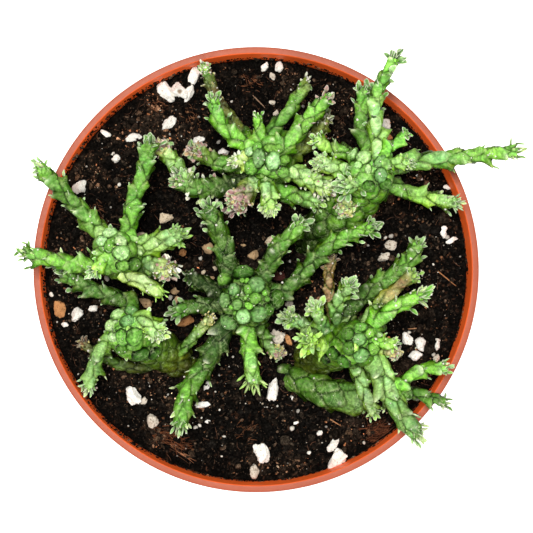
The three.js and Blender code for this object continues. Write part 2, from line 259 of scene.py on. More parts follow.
class Piece:
    """One named object of the scene, gathered from closed shapes that may have different finishes."""

    def __init__(self, name: str) -> None:
        """Starts an empty piece of that name."""
        self.name = name
        self.parts: list[tuple[Form, int]] = []

    def add(self, form: Form, finish: int = 0) -> None:
        """Adds a closed shape, which takes the finish of that number."""
        self.parts.append((form, finish))

    def add_copies(
        self,
        form: Form,
        turns: Array,
        offsets: Array,
        tints: Array,
        finish: int = 0,
    ) -> None:
        """Adds many copies of one shape at once.

        Args:
            form: the shape that is copied. Its tint is a share of the copy's own.
            turns: (n, 3, 3) matrices that turn and scale the copies.
            offsets: (n, 3) places of the copies' own origins.
            tints: (n, 3) colours, one for each copy.
            finish: the number of the finish that they take.
        """
        count, size = len(offsets), len(form.points)
        if not count:
            return
        points = np.einsum("nij,vj->nvi", turns, form.points) + offsets[:, None, :]
        step = (np.arange(count) * size)[:, None, None]
        quads = (form.quads[None] + step).reshape(-1, 4)
        tris = (form.tris[None] + step).reshape(-1, 3)
        tint = (tints[:, None, :] * form.tint[None]).reshape(-1, 3)
        self.parts.append((Form(points.reshape(-1, 3), quads, tris, tint), finish))

    def build(self, finishes: Sequence[bpy.types.Material]) -> bpy.types.Object:
        """Makes the Blender object.

        Args:
            finishes: the materials, in the order of their numbers.

        Returns:
            The object, in metres, in the scene's collection.
        """
        points, tints, corners, sizes, slots = [], [], [], [], []
        start = 0
        for form, finish in self.parts:
            points.append(form.points)
            tints.append(np.clip(form.tint, 0, 1))
            for faces in (form.quads, form.tris):
                corners.append((faces + start).ravel())
                sizes.append(np.full(len(faces), faces.shape[1]))
                slots.append(np.full(len(faces), finish))
            start += len(form.points)
        place = np.concatenate(points) * MM
        corner = np.concatenate(corners).astype(np.int32)
        size = np.concatenate(sizes).astype(np.int32)
        mesh = bpy.data.meshes.new(self.name)
        mesh.vertices.add(len(place))
        mesh.vertices.foreach_set("co", place.astype(np.float32).ravel())
        mesh.loops.add(len(corner))
        mesh.loops.foreach_set("vertex_index", corner)
        mesh.polygons.add(len(size))
        starts = np.concatenate([[0], np.cumsum(size)[:-1]])
        mesh.polygons.foreach_set("loop_start", starts.astype(np.int32))
        mesh.polygons.foreach_set("material_index", np.concatenate(slots).astype(np.int32))
        mesh.polygons.foreach_set("use_smooth", np.ones(len(size), bool))
        tint = mesh.color_attributes.new(TINT, "FLOAT_COLOR", "POINT")
        colour = np.concatenate(tints)
        tint.data.foreach_set("color", np.c_[colour, np.ones(len(colour))].astype(np.float32).ravel())
        mesh.update(calc_edges=True)
        for finish in finishes:
            mesh.materials.append(finish)
        made = bpy.data.objects.new(self.name, mesh)
        bpy.context.scene.collection.objects.link(made)
        return made


def tube(loops: Array, tint: Array, pointed: bool = True) -> Form:
    """A closed skin over a row of loops.

    Args:
        loops: (rows, sides, 3) points. The first loop is closed by a point at its centre, and the
            last one too, or by being a point itself.
        tint: (rows, sides, 3) colours.
        pointed: whether the last loop is a single point given `sides` times.

    Returns:
        The closed shape, facing out where the loops turn anticlockwise seen from the far end.
    """
    rows, sides = loops.shape[:2]
    whole = rows - 1 if pointed else rows
    points = loops[:whole].reshape(-1, 3)
    colours = tint[:whole].reshape(-1, 3)
    row, side = np.meshgrid(np.arange(whole - 1), np.arange(sides), indexing="ij")
    following = (side + 1) % sides
    here, there = row * sides, (row + 1) * sides
    quads = np.stack([here + side, here + following, there + following, there + side], -1)
    root, tip = len(points), len(points) + 1
    points = np.concatenate([points, [loops[0].mean(0)], [loops[-1].mean(0)]])
    colours = np.concatenate([colours, [tint[0].mean(0)], [tint[-1].mean(0)]])
    side = np.arange(sides)
    following = (side + 1) % sides
    last = (whole - 1) * sides
    under = np.stack([np.full(sides, root), following, side], -1)
    over = np.stack([np.full(sides, tip), last + side, last + following], -1)
    return Form(points, quads.reshape(-1, 4), np.concatenate([under, over]), colours)


def ball(level: int) -> Form:
    """A round ball of radius 1.

    Args:
        level: how finely it is made: 20 faces at 1, and four times as many at each further level.

    Returns:
        The closed shape.
    """
    mesh = bpy.data.meshes.new("ball")
    shape = bmesh.new()
    bmesh.ops.create_icosphere(shape, subdivisions=level, radius=1)
    shape.to_mesh(mesh)
    shape.free()
    points = np.zeros(len(mesh.vertices) * 3)
    mesh.vertices.foreach_get("co", points)
    corners = np.zeros(len(mesh.loops), np.int32)
    mesh.loops.foreach_get("vertex_index", corners)
    bpy.data.meshes.remove(mesh)
    points = points.reshape(-1, 3)
    return Form(points, np.zeros((0, 4), int), corners.reshape(-1, 3), np.ones_like(points))


def stone(level: int, seed: int, planes: int, lumps: float) -> Form:
    """A broken grain of about radius 1: a ball cut by planes, with worn edges and a lumpy surface.

    Args:
        level: how finely it is made, as for `ball`.
        seed: picks one of many grains.
        planes: how many planes cut it.
        lumps: the height of its lumps.

    Returns:
        The closed shape.
    """
    form = ball(level)
    rng = np.random.default_rng(seed)
    normals = unit(rng.normal(size=(planes, 3)))
    facing = form.points @ normals.T
    depth = np.where(facing > 0.1, rng.uniform(0.66, 1.0, planes) / np.maximum(facing, 0.1), 9.0)
    nearest = np.minimum(depth, 1.08)
    worn = -np.log(np.exp(-22 * np.c_[nearest, np.full(len(nearest), 1.08)]).sum(1)) / 22
    worn = worn + 0.08
    form.points = form.points * (worn * (1 + lumps * rough(form.points, 0.8, 3, seed)))[:, None]
    return form


def chip(level: int, seed: int, bites: int) -> Form:
    """An angular grain of about radius 1, with worn edges and bites taken out of it.

    Args:
        level: how finely it is made, as for `ball`.
        seed: picks one of many grains.
        bites: how many bites it has.

    Returns:
        The closed shape.
    """
    form = ball(level)
    rng = np.random.default_rng(seed)
    normals = unit(rng.normal(size=(11, 3)))
    press = np.maximum(form.points @ normals.T, 0) / rng.uniform(0.6, 0.95, 11)
    reach = np.minimum((press**24).sum(1) ** (-1 / 24), 1.2)
    for middle in unit(rng.normal(size=(bites, 3))):
        away = np.linalg.norm(form.points - middle, axis=1) / rng.uniform(0.35, 0.7)
        reach = reach - 0.3 * np.clip(1 - away, 0, 1)
    grit = 0.16 * rough(form.points, 0.5, 3, seed) + 0.1 * rough(form.points, 0.16, 2, seed + 1)
    form.points = form.points * (reach * (1 + grit))[:, None]
    form.points = form.points / np.abs(form.points).max(0)
    return form


def turned_at_random(rng: np.random.Generator, count: int) -> Array:
    """Even random turns.

    Args:
        rng: what they are drawn from.
        count: how many there are.

    Returns:
        (count, 3, 3) matrices.
    """
    q = rng.normal(size=(count, 4))
    w, x, y, z = (q / np.linalg.norm(q, axis=1, keepdims=True)).T
    return np.stack(
        [
            np.stack([1 - 2 * (y * y + z * z), 2 * (x * y - z * w), 2 * (x * z + y * w)], -1),
            np.stack([2 * (x * y + z * w), 1 - 2 * (x * x + z * z), 2 * (y * z - x * w)], -1),
            np.stack([2 * (x * z - y * w), 2 * (y * z + x * w), 1 - 2 * (x * x + y * y)], -1),
        ],
        axis=1,
    )


def unit(vectors: Array) -> Array:
    """The same directions with length 1."""
    return vectors / np.maximum(np.linalg.norm(vectors, axis=-1, keepdims=True), 1e-12)


# ---------------------------------------------------------------- materials


class Finish:
    """A material under construction: its nodes, and short ways to add and join them."""

    def __init__(self, name: str) -> None:
        """Starts a material with one principled shader."""
        self.material = bpy.data.materials.new(name)
        self.material.use_nodes = True
        self.tree = self.material.node_tree
        self.tree.nodes.clear()
        self.shader = self.node("ShaderNodeBsdfPrincipled")
        output = self.node("ShaderNodeOutputMaterial")
        self.join(self.shader, "BSDF", output, "Surface")
        self.place = self.node("ShaderNodeTexCoord")

    def node(self, kind: str, **settings: object) -> Node:
        """Adds a node.

        Args:
            kind: its type.
            settings: its own settings, by name.

        Returns:
            The node.
        """
        made = self.tree.nodes.new(kind)
        for name, value in settings.items():
            setattr(made, name, value)
        return made

    def join(self, source: Node, output: str | int, target: Node, entry: str | int) -> None:
        """Links one node's output to another's input."""
        self.tree.links.new(source.outputs[output], target.inputs[entry])

    def fixed(self, **values: float | tuple[float, ...]) -> None:
        """Sets numbers and colours on the shader's own sockets, with _ for a space."""
        for name, value in values.items():
            self.shader.inputs[name.replace("_", " ")].default_value = value

    def noise(self, per_metre: float, detail: float = 3, roughness: float = 0.5) -> Node:
        """Adds noise that is fixed to the object.

        Args:
            per_metre: how many lumps there are to the metre.
            detail: how many finer sizes of lump lie on them.
            roughness: how strong the finer lumps are.

        Returns:
            The noise node.
        """
        made = self.node("ShaderNodeTexNoise")
        made.inputs["Scale"].default_value = per_metre
        made.inputs["Detail"].default_value = detail
        made.inputs["Roughness"].default_value = roughness
        self.join(self.place, "Object", made, "Vector")
        return made

    def dots(self, per_metre: float) -> Node:
        """Adds scattered cells that are fixed to the object.

        Args:
            per_metre: how many there are to the metre.

        Returns:
            The node of the cells.
        """
        made = self.node("ShaderNodeTexVoronoi")
        made.inputs["Scale"].default_value = per_metre
        made.inputs["Randomness"].default_value = 1
        self.join(self.place, "Object", made, "Vector")
        return made

    def ramp(self, source: Node, stops: Sequence[Range], output: str = "Fac") -> Node:
        """Turns a number into a grey.

        Args:
            source: the node that gives the number.
            stops: places on the ramp, with the grey at each.
            output: the number's socket on that node.

        Returns:
            The ramp node.
        """
        made = self.node("ShaderNodeValToRGB")
        elements = made.color_ramp.elements
        while len(elements) < len(stops):
            elements.new(0.5)
        for element, (place, value) in zip(elements, stops):
            element.position = place
            element.color = (value, value, value, 1)
        self.join(source, output, made, "Fac")
        return made

    def mixed(
        self,
        blend: str,
        first: Output | Colour,
        second: Output | Colour,
        share: Output | float,
    ) -> Node:
        """Mixes two colours, each a node's output or a plain colour, by a share.

        Args:
            blend: how they are mixed, in the mix node's own word.
            first: the first colour.
            second: the second colour.
            share: how much of the second is mixed in, as a number or a node's output.

        Returns:
            The mix node.
        """
        made = self.node("ShaderNodeMix", data_type="RGBA", blend_type=blend)
        for entry, value in ((6, first), (7, second)):
            if isinstance(value[0], Node):
                self.join(value[0], value[1], made, entry)
            else:
                made.inputs[entry].default_value = (*value, 1)
        if isinstance(share, tuple):
            self.join(share[0], share[1], made, 0)
        else:
            made.inputs[0].default_value = share
        return made

    def shaded(self, grey: Node, share: float = 1.0) -> Node:
        """The colour that the mesh carries, lightened and darkened by a grey."""
        tint = self.node("ShaderNodeAttribute", attribute_name=TINT)
        return self.mixed("MULTIPLY", (tint, "Color"), (grey, "Color"), share)

    def coloured(self, mix: Node) -> None:
        """Makes the result of a mix the surface's own colour."""
        self.join(mix, MIXED, self.shader, "Base Color")

    def polished(self, noise: Node, least: float, greatest: float) -> None:
        """Lets the roughness wander between two values.

        Args:
            noise: the noise that it follows.
            least: the roughness where the noise is low.
            greatest: the roughness where it is high.
        """
        dull = self.node("ShaderNodeMapRange")
        dull.inputs["To Min"].default_value = least
        dull.inputs["To Max"].default_value = greatest
        self.join(noise, "Fac", dull, "Value")
        self.join(dull, "Result", self.shader, "Roughness")

    def bump(self, source: Node, output: str, strength: float, depth: float) -> None:
        """Gives the surface small relief.

        Args:
            source: the node that gives the relief.
            output: its socket on that node.
            strength: how strongly the relief shows.
            depth: how deep it is, in metres.
        """
        made = self.node("ShaderNodeBump")
        made.inputs["Strength"].default_value = strength
        made.inputs["Distance"].default_value = depth
        self.join(source, output, made, "Height")
        self.join(made, "Normal", self.shader, "Normal")


def skin_finish(name: str, roughness: tuple[float, float], flesh: float) -> bpy.types.Material:
    """Waxy succulent skin or leaf: mottled, with pale pores and a soft shine.

    Args:
        name: the material's name.
        roughness: the roughness where the wax is polished and where it is dull.
        flesh: how much light passes through the flesh.

    Returns:
        The material.
    """
    finish = Finish(name)
    body = finish.shaded(finish.ramp(finish.noise(1100, 5, 0.7), [(0.3, 0.55), (0.5, 1.0), (0.72, 1.5)]))
    veins = finish.ramp(finish.noise(620, 2, 0.5), [(0.46, 0.0), (0.5, 0.32), (0.54, 0.0)])
    patch = finish.ramp(finish.noise(260, 2), [(0.42, 0.0), (0.56, 1.0)])
    veil = finish.mixed("MULTIPLY", (veins, "Color"), (patch, "Color"), 1.0)
    finish.coloured(finish.mixed("MIX", (body, MIXED), linear(190, 212, 150), (veil, MIXED)))
    finish.polished(finish.noise(420, 3), *roughness)
    finish.bump(finish.noise(1500, 5, 0.65), "Fac", 0.8, 0.0003)
    finish.fixed(Specular_IOR_Level=0.1)
    finish.fixed(Subsurface_Weight=flesh, Subsurface_Scale=0.0003, Subsurface_Radius=(0.5, 1.0, 0.25))
    return finish.material


def dry_finish() -> bpy.types.Material:
    """Dried leaf, scar and bark: dull, streaked and brittle."""
    finish = Finish("dried_leaf")
    streak = finish.ramp(finish.noise(1300, 5, 0.7), [(0.3, 0.6), (0.5, 1.0), (0.72, 1.3)])
    finish.coloured(finish.shaded(streak))
    finish.bump(finish.noise(2400, 5, 0.7), "Fac", 0.6, 0.0002)
    finish.fixed(Roughness=0.82, Specular_IOR_Level=0.15)
    return finish.material


def peat_finish() -> bpy.types.Material:
    """Moist dark peat: nearly black, with brown grains and a damp glint here and there."""
    finish = Finish("moist_peat")
    grain = finish.ramp(finish.noise(1500, 6, 0.75), [(0.38, 0.2), (0.52, 1.0), (0.66, 3.2)])
    finish.coloured(finish.shaded(grain))
    finish.bump(finish.noise(1800, 6, 0.8), "Fac", 0.9, 0.0005)
    finish.fixed(Roughness=0.75, Specular_IOR_Level=0.02)
    return finish.material


def perlite_finish() -> bpy.types.Material:
    """Foamed mineral grain: chalky white with pits and a few stains."""
    finish = Finish("perlite_foam")
    pits = finish.ramp(finish.dots(1500), [(0.12, 0.62), (0.34, 1.0)], "Distance")
    stain = finish.ramp(finish.noise(420, 5, 0.65), [(0.3, 0.72), (0.48, 1.0)])
    pitted = finish.shaded(pits, 0.3)
    finish.coloured(finish.mixed("MULTIPLY", (pitted, MIXED), (stain, "Color"), 0.3))
    finish.bump(pits, "Color", 0.5, 0.0002)
    finish.fixed(Roughness=0.92, Specular_IOR_Level=0.2)
    return finish.material


def pot_finish() -> bpy.types.Material:
    """Terracotta-coloured moulded plastic, with crumbs of mix stuck to its inner wall and a painted glow on
    the inner wall that stands in for light reaching it.
    """
    finish = Finish("terracotta_plastic")
    body = finish.shaded(finish.ramp(finish.noise(60, 4, 0.6), [(0.3, 0.93), (0.7, 1.06)]))
    dirt = finish.ramp(finish.noise(520, 6, 0.8), [(0.44, 0.0), (0.52, 1.0)])
    where = finish.node("ShaderNodeAttribute", attribute_name=SOILED)
    smear = finish.mixed("MULTIPLY", (dirt, "Color"), (where, "Color"), 1.0)
    soiled = finish.mixed("MIX", (body, MIXED), linear(46, 22, 12), (smear, MIXED))
    finish.coloured(soiled)
    # Painted light: the inner wall glows in its own colour where the glow attribute is set.
    lit = finish.node("ShaderNodeAttribute", attribute_name=PAINTED_GLOW)
    glow = finish.mixed("MULTIPLY", (soiled, MIXED), (lit, "Color"), 1.0)
    finish.join(glow, MIXED, finish.shader, "Emission Color")
    finish.polished(finish.noise(900, 4), 0.42, 0.58)
    finish.bump(finish.noise(1700, 3), "Fac", 0.25, 0.0001)
    finish.fixed(Specular_IOR_Level=0.3, Emission_Strength=0.22)
    return finish.material


def floor_finish() -> bpy.types.Material:
    """A plain pale studio floor with the faintest unevenness."""
    finish = Finish("studio_floor")
    cloud = finish.ramp(finish.noise(9, 2), [(0.3, 0.9), (0.7, 0.93)])
    finish.join(cloud, "Color", finish.shader, "Base Color")
    finish.fixed(Roughness=0.9, Specular_IOR_Level=0.1, Emission_Color=(1, 1, 1, 1), Emission_Strength=0.8)
    return finish.material


# ---------------------------------------------------------------- limbs


@dataclass(frozen=True)
class Spine:
    """A smooth centre line with a frame that turns along it, for bending a straight limb."""

    run: Array
    place: Array
    ahead: Array
    side: Array
    over: Array

    @classmethod
    def through(cls, points: Array, samples: int = 160) -> "Spine":
        """The curve through some points.

        Args:
            points: (n, 3) places in millimetres, n at least 3.
            samples: how many places of the curve are kept.

        Returns:
            The spine.
        """
        ends = np.vstack([2 * points[0] - points[1], points, 2 * points[-1] - points[-2]])
        gaps = np.sqrt(np.linalg.norm(np.diff(ends, axis=0), axis=1))
        knots = np.concatenate([[0], np.cumsum(gaps)])
        stretches = []
        for k in range(1, len(ends) - 2):
            t = np.linspace(knots[k], knots[k + 1], 40, endpoint=k == len(ends) - 3)[:, None]

            def between(a: Array, b: Array, low: int, high: int) -> Array:
                """The mix of two curves over the knots from `low` to `high`."""
                return (a * (knots[high] - t) + b * (t - knots[low])) / (knots[high] - knots[low])

            first, second, third = (between(ends[i], ends[i + 1], i, i + 1) for i in (k - 1, k, k + 1))
            early, late = between(first, second, k - 1, k + 1), between(second, third, k, k + 2)
            stretches.append(between(early, late, k, k + 1))
        fine = np.concatenate(stretches)
        travelled = np.concatenate([[0], np.cumsum(np.linalg.norm(np.diff(fine, axis=0), axis=1))])
        run = np.linspace(0, travelled[-1], samples)
        place = np.stack([np.interp(run, travelled, fine[:, k]) for k in range(3)], axis=-1)
        ahead = unit(np.gradient(place, run, axis=0))
        side = np.zeros_like(ahead)
        start = np.cross(ahead[0], UPWARD)
        side[0] = unit(start if np.linalg.norm(start) > 0.1 else np.cross(ahead[0], (0.0, 1.0, 0.0)))
        for k in range(1, samples):
            carried = side[k - 1] - ahead[k] * (side[k - 1] @ ahead[k])
            side[k] = unit(carried)
        return cls(run, place, ahead, side, np.cross(ahead, side))

    @property
    def length(self) -> float:
        """The curve's length in millimetres."""
        return float(self.run[-1])

    def _at(self, values: Array, run: Array) -> Array:
        """Values along the curve, read at the given runs."""
        return np.stack([np.interp(run, self.run, values[:, k]) for k in range(3)], axis=-1)

    def bent(self, straight: Array) -> Array:
        """Moves points of a straight limb onto the curve.

        Args:
            straight: (n, 3) points of a limb that runs along +Z.

        Returns:
            (n, 3) points.
        """
        run = np.clip(straight[:, 2], 0, self.length)
        place = self._at(self.place, run) + self._at(self.ahead, run) * (straight[:, 2] - run)[:, None]
        side, over = self._at(self.side, run), self._at(self.over, run)
        return place + side * straight[:, :1] + over * straight[:, 1:2]

    def turned(self, straight: Array, directions: Array) -> Array:
        """Turns directions as the curve turns.

        Args:
            straight: (n, 3) points of the straight limb.
            directions: (n, 3) directions at those points.

        Returns:
            (n, 3) directions of length 1.
        """
        run = np.clip(straight[:, 2], 0, self.length)
        side, over, ahead = (self._at(values, run) for values in (self.side, self.over, self.ahead))
        return unit(side * directions[:, :1] + over * directions[:, 1:2] + ahead * directions[:, 2:3])


@dataclass(frozen=True)
class Outline:
    """A straight limb's outline: stations evenly spaced over its surface, from root to apex."""

    run: Array
    height: Array
    radius: Array

    @classmethod
    def of(cls, radius_at: Radius, length: float, dome: float, step: float) -> "Outline":
        """The outline of a limb that ends in a dome.

        Args:
            radius_at: the radius at shares 0 to 1 of the length.
            length: the limb's length.
            dome: the height of the dome at its end.
            step: the distance between stations.

        Returns:
            The outline.
        """
        shaft = np.linspace(0, 1 - dome / length, 200)
        lean = np.linspace(0, math.pi / 2, 80)[1:]
        height = np.concatenate([shaft * length, length - dome + dome * np.sin(lean)])
        last = float(radius_at(np.array([1 - dome / length]))[0])
        radius = np.concatenate([radius_at(shaft), last * np.cos(lean)])
        run = np.concatenate([[0], np.cumsum(np.hypot(np.diff(height), np.diff(radius)))])
        even = np.linspace(0, run[-1], max(12, round(run[-1] / step)))
        return cls(even, np.interp(even, run, height), np.interp(even, run, radius))

    def slopes(self) -> tuple[Array, Array]:
        """Works out how steep the outline is.

        Returns:
            How height and radius grow with the run, at each station.
        """
        rise = np.gradient(self.height, self.run)
        spread = np.gradient(self.radius, self.run)
        size = np.hypot(rise, spread)
        return rise / size, spread / size


@dataclass(frozen=True)
class Pads:
    """The tubercles that cover a limb: their size from root to tip, and their relief."""

    width: Range = (1.95, 1.4)  # half the width of a pad at the root and at the tip
    stretch: float = 1.25  # a pad's length over its width
    relief: float = 0.36  # a pad's height over its half width
    tooth: float = 0.34  # the height of the bump at its tip over its half width
    seam: float = 0.14  # the width of the dark line of painted shade in the groove between pads
    ball: float = 0.0  # from 0, pads like cushions, to 1, pads like balls


@dataclass
class Tubercles:
    """Where the pads of one straight limb are, which way they point, and their sizes."""

    centre: Array
    ahead: Array
    out: Array
    size: Array
    share: Array

    @classmethod
    def on(cls, outline: Outline, pads: Pads, rng: np.random.Generator) -> "Tubercles":
        """Sets pads round a limb in a spiral that isn't quite even.

        Args:
            outline: the limb's outline.
            pads: the sizes of the pads.
            rng: the limb's own random numbers.

        Returns:
            The tubercles of the straight limb.
        """
        end = outline.run[-1]
        size = np.interp(outline.run / end, (0, 1), pads.width)
        size = size * np.clip((end - outline.run) / (2.4 * size), 0.42, 1)  # small at the apex
        area = HEXAGON_AREA * size**2 * pads.stretch
        rate = 2 * math.pi * outline.radius / area
        count = np.concatenate([[0], np.cumsum((rate[1:] + rate[:-1]) / 2 * np.diff(outline.run))])
        index = np.arange(int(count[-1])) + 0.5
        run = np.interp(index, count, outline.run)
        angle = rng.uniform(0, 2 * math.pi) + index * GOLDEN_TURN
        own = np.interp(run, outline.run, size)
        run = np.clip(run + rng.normal(0, 0.26, len(run)) * own, 0, end)
        girth = np.maximum(np.interp(run, outline.run, outline.radius), own)
        angle = angle + rng.normal(0, 0.24, len(run)) * own / girth
        own = own * rng.uniform(0.76, 1.24, len(own))
        rise, spread = outline.slopes()
        radius, height, rise, spread = (
            np.interp(run, outline.run, v) for v in (outline.radius, outline.height, rise, spread)
        )
        cos, sin = np.cos(angle), np.sin(angle)
        return cls(
            np.stack([radius * cos, radius * sin, height], -1),
            unit(np.stack([spread * cos, spread * sin, rise], -1)),
            unit(np.stack([rise * cos, rise * sin, -spread], -1)),
            own,
            run / end,
        )


def leaf_form(
    width: float, cup: float, bend: float, thickness: float, point: float, crumple: int = 0
) -> Form:
    """A leaf of length 1 along +Y, with its upper face to +Z. Its tint marks the pale margin and carries
    painted shade.

    Args:
        width: its greatest width over its length.
        cup: how far its margins rise, over its half width.
        bend: how far its tip rises, or falls if negative, over its length.
        thickness: its thickness over its length.
        point: how early it narrows, from about 0, like a spoon, to 0.7, like a lance.
        crumple: the seed of a dried leaf's creases, or 0 for a fresh leaf.

    Returns:
        The closed leaf. Its tint's first part is 0 on the blade and 1 on the margin, and its
        second part is painted shade that darkens the foot and the lower face.
    """
    share = np.array([0.0, 0.14, 0.3, 0.47, 0.64, 0.8, 0.92, 1.0])
    half = 0.5 * width * np.sin(math.pi * np.clip(share, 0, 1) ** (1 / (0.7 + point))) ** 0.8
    half = np.maximum(half, 0.5 * width * 0.42 * (1 - share) ** 0.6)
    thick = 0.5 * thickness * np.sqrt(np.clip(1 - share**3, 0, 1)) * (1.5 - 0.7 * share)
    around = np.linspace(0, 2 * math.pi, 10, endpoint=False)
    x = half[:, None] * np.cos(around)
    z = thick[:, None] * np.sin(around) + cup * half[:, None] * np.cos(around) ** 2
    z = z + bend * share[:, None] ** 2
    y = np.broadcast_to(share[:, None], x.shape)
    loops = np.stack([x, y, z], -1)
    margin = np.broadcast_to(np.abs(np.cos(around)) ** 6, half.shape[:1] + around.shape)
    margin = np.maximum(margin, smooth(0.8, 1.0, share)[:, None])
    # Painted shade: darker towards the foot and on the lower face.
    depth = np.broadcast_to(0.34 + 0.66 * smooth(0.1, 0.6, share)[:, None], margin.shape)
    depth = depth * np.where(np.sin(around) < -0.3, 0.6, 1.0)
    form = tube(loops[:, ::-1], np.stack([margin, depth, margin], -1)[:, ::-1])
    if crumple:
        amount = np.clip(form.points[:, 1:2], 0, 1) * 0.3
        shift = np.stack([rough(form.points, 0.4, 2, crumple + 7 * k) for k in range(3)], -1)
        form.points = form.points + amount * shift
    return form


class LeafShape(Enum):
    """The plant's leaves: width, cup, bend, thickness and point of each kind."""

    OVATE = (0.64, 0.4, 0.1, 0.16, 0.2)
    NARROW = (0.42, 0.5, 0.1, 0.15, 0.3)
    AWL = (0.24, 0.3, 0.16, 0.2, 0.1)
    STUB = (0.85, 0.4, 0.1, 0.34, 0.2)
    DRIED = (0.7, 0.8, 0.35, 0.16, 0.2)

    def forms(self, count: int = 4) -> list[Form]:
        """Makes a few leaves of this kind that differ in cup and bend.

        Args:
            count: how many.

        Returns:
            The leaves.
        """
        width, cup, bend, thickness, point = self.value
        return [
            leaf_form(
                width * (0.88 + 0.08 * k),
                cup * (0.7 + 0.25 * k),
                bend * (1.6 - 0.9 * k),
                thickness,
                point,
                91 + 13 * k if self is LeafShape.DRIED else 0,
            )
            for k in range(count)
        ]


@dataclass(frozen=True)
class Foliage:
    """How a limb bears leaves: their kind and length, where they grow, and their colours."""

    shape: LeafShape = LeafShape.OVATE
    length: float = 2.5  # at the tip
    start: float = 0.5  # the share of the arm from which leaves grow
    spread: Range = (66, 34)  # degrees from the arm's axis, at the start and at the tip
    crown: int = 8  # leaves in the rosette at the tip
    tones: tuple[Tone, ...] = (Tone.BLUE, Tone.MINT, Tone.MID)
    margin: Tone = Tone.CREAM
    stray: float = 0.14  # the share of older tubercles that still carry a leaf
    density: float = 0.65  # the share of the tubercles from `start` on that carry one
    tousle: float = 0.14  # how far leaves turn out of line
    knobs: int = 16  # small round buds among the leaves of the tip
    knob: float = 0.3  # their radius


class Habit(Enum):
    """The kinds of arm on this plant."""

    BARE = "bare"
    STUBBY = "stubby"
    LEAFY = "leafy"
    ROSETTE = "rosette"
    TUFTED = "tufted"
    CLUSTERED = "clustered"
    KNOBBLY = "knobbly"
    RAGGED = "ragged"
    SPINY = "spiny"
    FINE = "fine"
    SCALY = "scaly"
    WITHERED = "withered"
    DRY = "dry"


H, T, L = Habit, Tone, LeafShape
PADS = {
    H.BARE: Pads((2.5, 1.8), 1.6, 0.34, 0.6),
    H.STUBBY: Pads((2.3, 1.4), 1.5, 0.44, 0.9),
    H.LEAFY: Pads((2.3, 1.3), 1.5, 0.42, 0.75),
    H.ROSETTE: Pads((2.0, 1.1), 1.3, 0.48, 0.8),
    H.TUFTED: Pads((2.0, 1.1), 1.3, 0.46, 0.8),
    H.KNOBBLY: Pads((1.9, 1.0), 1.2, 0.52, 0.9),
    H.RAGGED: Pads((2.6, 1.4), 1.7, 0.28, 1.0, 0.08),
    H.CLUSTERED: Pads((1.9, 1.1), 1.3, 0.48, 0.8),
    H.SPINY: Pads((2.3, 1.5), 1.4, 0.46, 1.0),
    H.FINE: Pads((2.4, 1.5), 1.9, 0.22, 0.7, 0.08),
    H.SCALY: Pads((2.5, 1.7), 1.6, 0.4, 0.9),
    H.WITHERED: Pads((1.9, 1.1), 1.2, 0.5, 0.7),
    H.DRY: Pads((1.2, 1.0), 2.0, 0.36, 0.4, 0.2),
}
MIXED_LEAF = (T.MINT, T.BLUE, T.MINT, T.PALE)
FRESH_LEAF = (T.FRESH, T.MINT, T.FRESH)
PALE_LEAF = (T.MINT, T.PALE, T.MINT)
WITHERED_LEAF = (T.PINK, T.MAUVE, T.STRAW, T.PINK, T.MINT)
DRY_LEAF = (T.TAN, T.BROWN, T.STRAW)
KNOBBLY_LEAF = (T.BLUE, T.MINT, T.PALE, T.CREAM, T.PINK)
FOLIAGE = {
    H.BARE: Foliage(L.STUB, 1.2, 0.8, crown=5, tones=(T.FRESH, T.MID), stray=0.05, knobs=6),
    H.STUBBY: Foliage(length=2.2, start=0.2, spread=(74, 40), crown=10, stray=0.4, density=0.8, knobs=12),
    H.LEAFY: Foliage(start=0.4, crown=10, stray=0.25),
    H.ROSETTE: Foliage(L.OVATE, 2.4, 0.05, (80, 40), 13, MIXED_LEAF, density=0.85, knobs=34),
    H.TUFTED: Foliage(L.NARROW, 2.7, 0.25, (80, 34), 14, FRESH_LEAF, T.PALE, 0.2, 0.7, knobs=14),
    H.CLUSTERED: Foliage(L.OVATE, 2.2, 0.05, (86, 46), 34, (*FRESH_LEAF, T.PALE), knobs=60, knob=0.36),
    H.KNOBBLY: Foliage(
        L.OVATE, 1.9, 0.2, (84, 44), 28, KNOBBLY_LEAF, stray=0.5, density=0.9, knobs=70, knob=0.36
    ),
    H.RAGGED: Foliage(L.NARROW, 2.2, 0.2, (76, 38), 12, (T.MINT, T.PALE), stray=0.6, density=1.0),
    H.SPINY: Foliage(L.NARROW, 2.8, 0.08, (70, 26), 9, PALE_LEAF, T.CREAM, 0.5, 1.0),
    H.FINE: Foliage(L.AWL, 3.2, 0.3, (70, 30), 8, (T.PALE, T.FRESH), T.PALE, 0.12, 0.6, knobs=12),
    H.SCALY: Foliage(L.AWL, 2.4, 0.2, (56, 30), 9, (T.STRAW, T.PALE), T.PALE, 0.3, 0.7, knobs=8),
    H.WITHERED: Foliage(
        L.DRIED, 1.5, 0.35, (84, 50), 60, WITHERED_LEAF, T.CREAM, 0.25, 1.0, 0.5, knobs=90, knob=0.36
    ),
    H.DRY: Foliage(L.DRIED, 1.5, 0.55, (60, 30), 9, DRY_LEAF, stray=0.25, tousle=0.35, knobs=18),
}
CROWN = Foliage(
    length=1.9, start=0.66, spread=(85, 60), crown=0, stray=0, density=0.35, tousle=0.3, knobs=0
)


def daylight(place: Array) -> Array:
    """Painted light and shade by height: how much growth's tint is darkened low by the mix and brightened
    high up.
    """
    return np.interp(place[:, 2] - MIX_LEVEL, (0, 7, 15, 26), (0.19, 0.4, 0.82, 1.17))


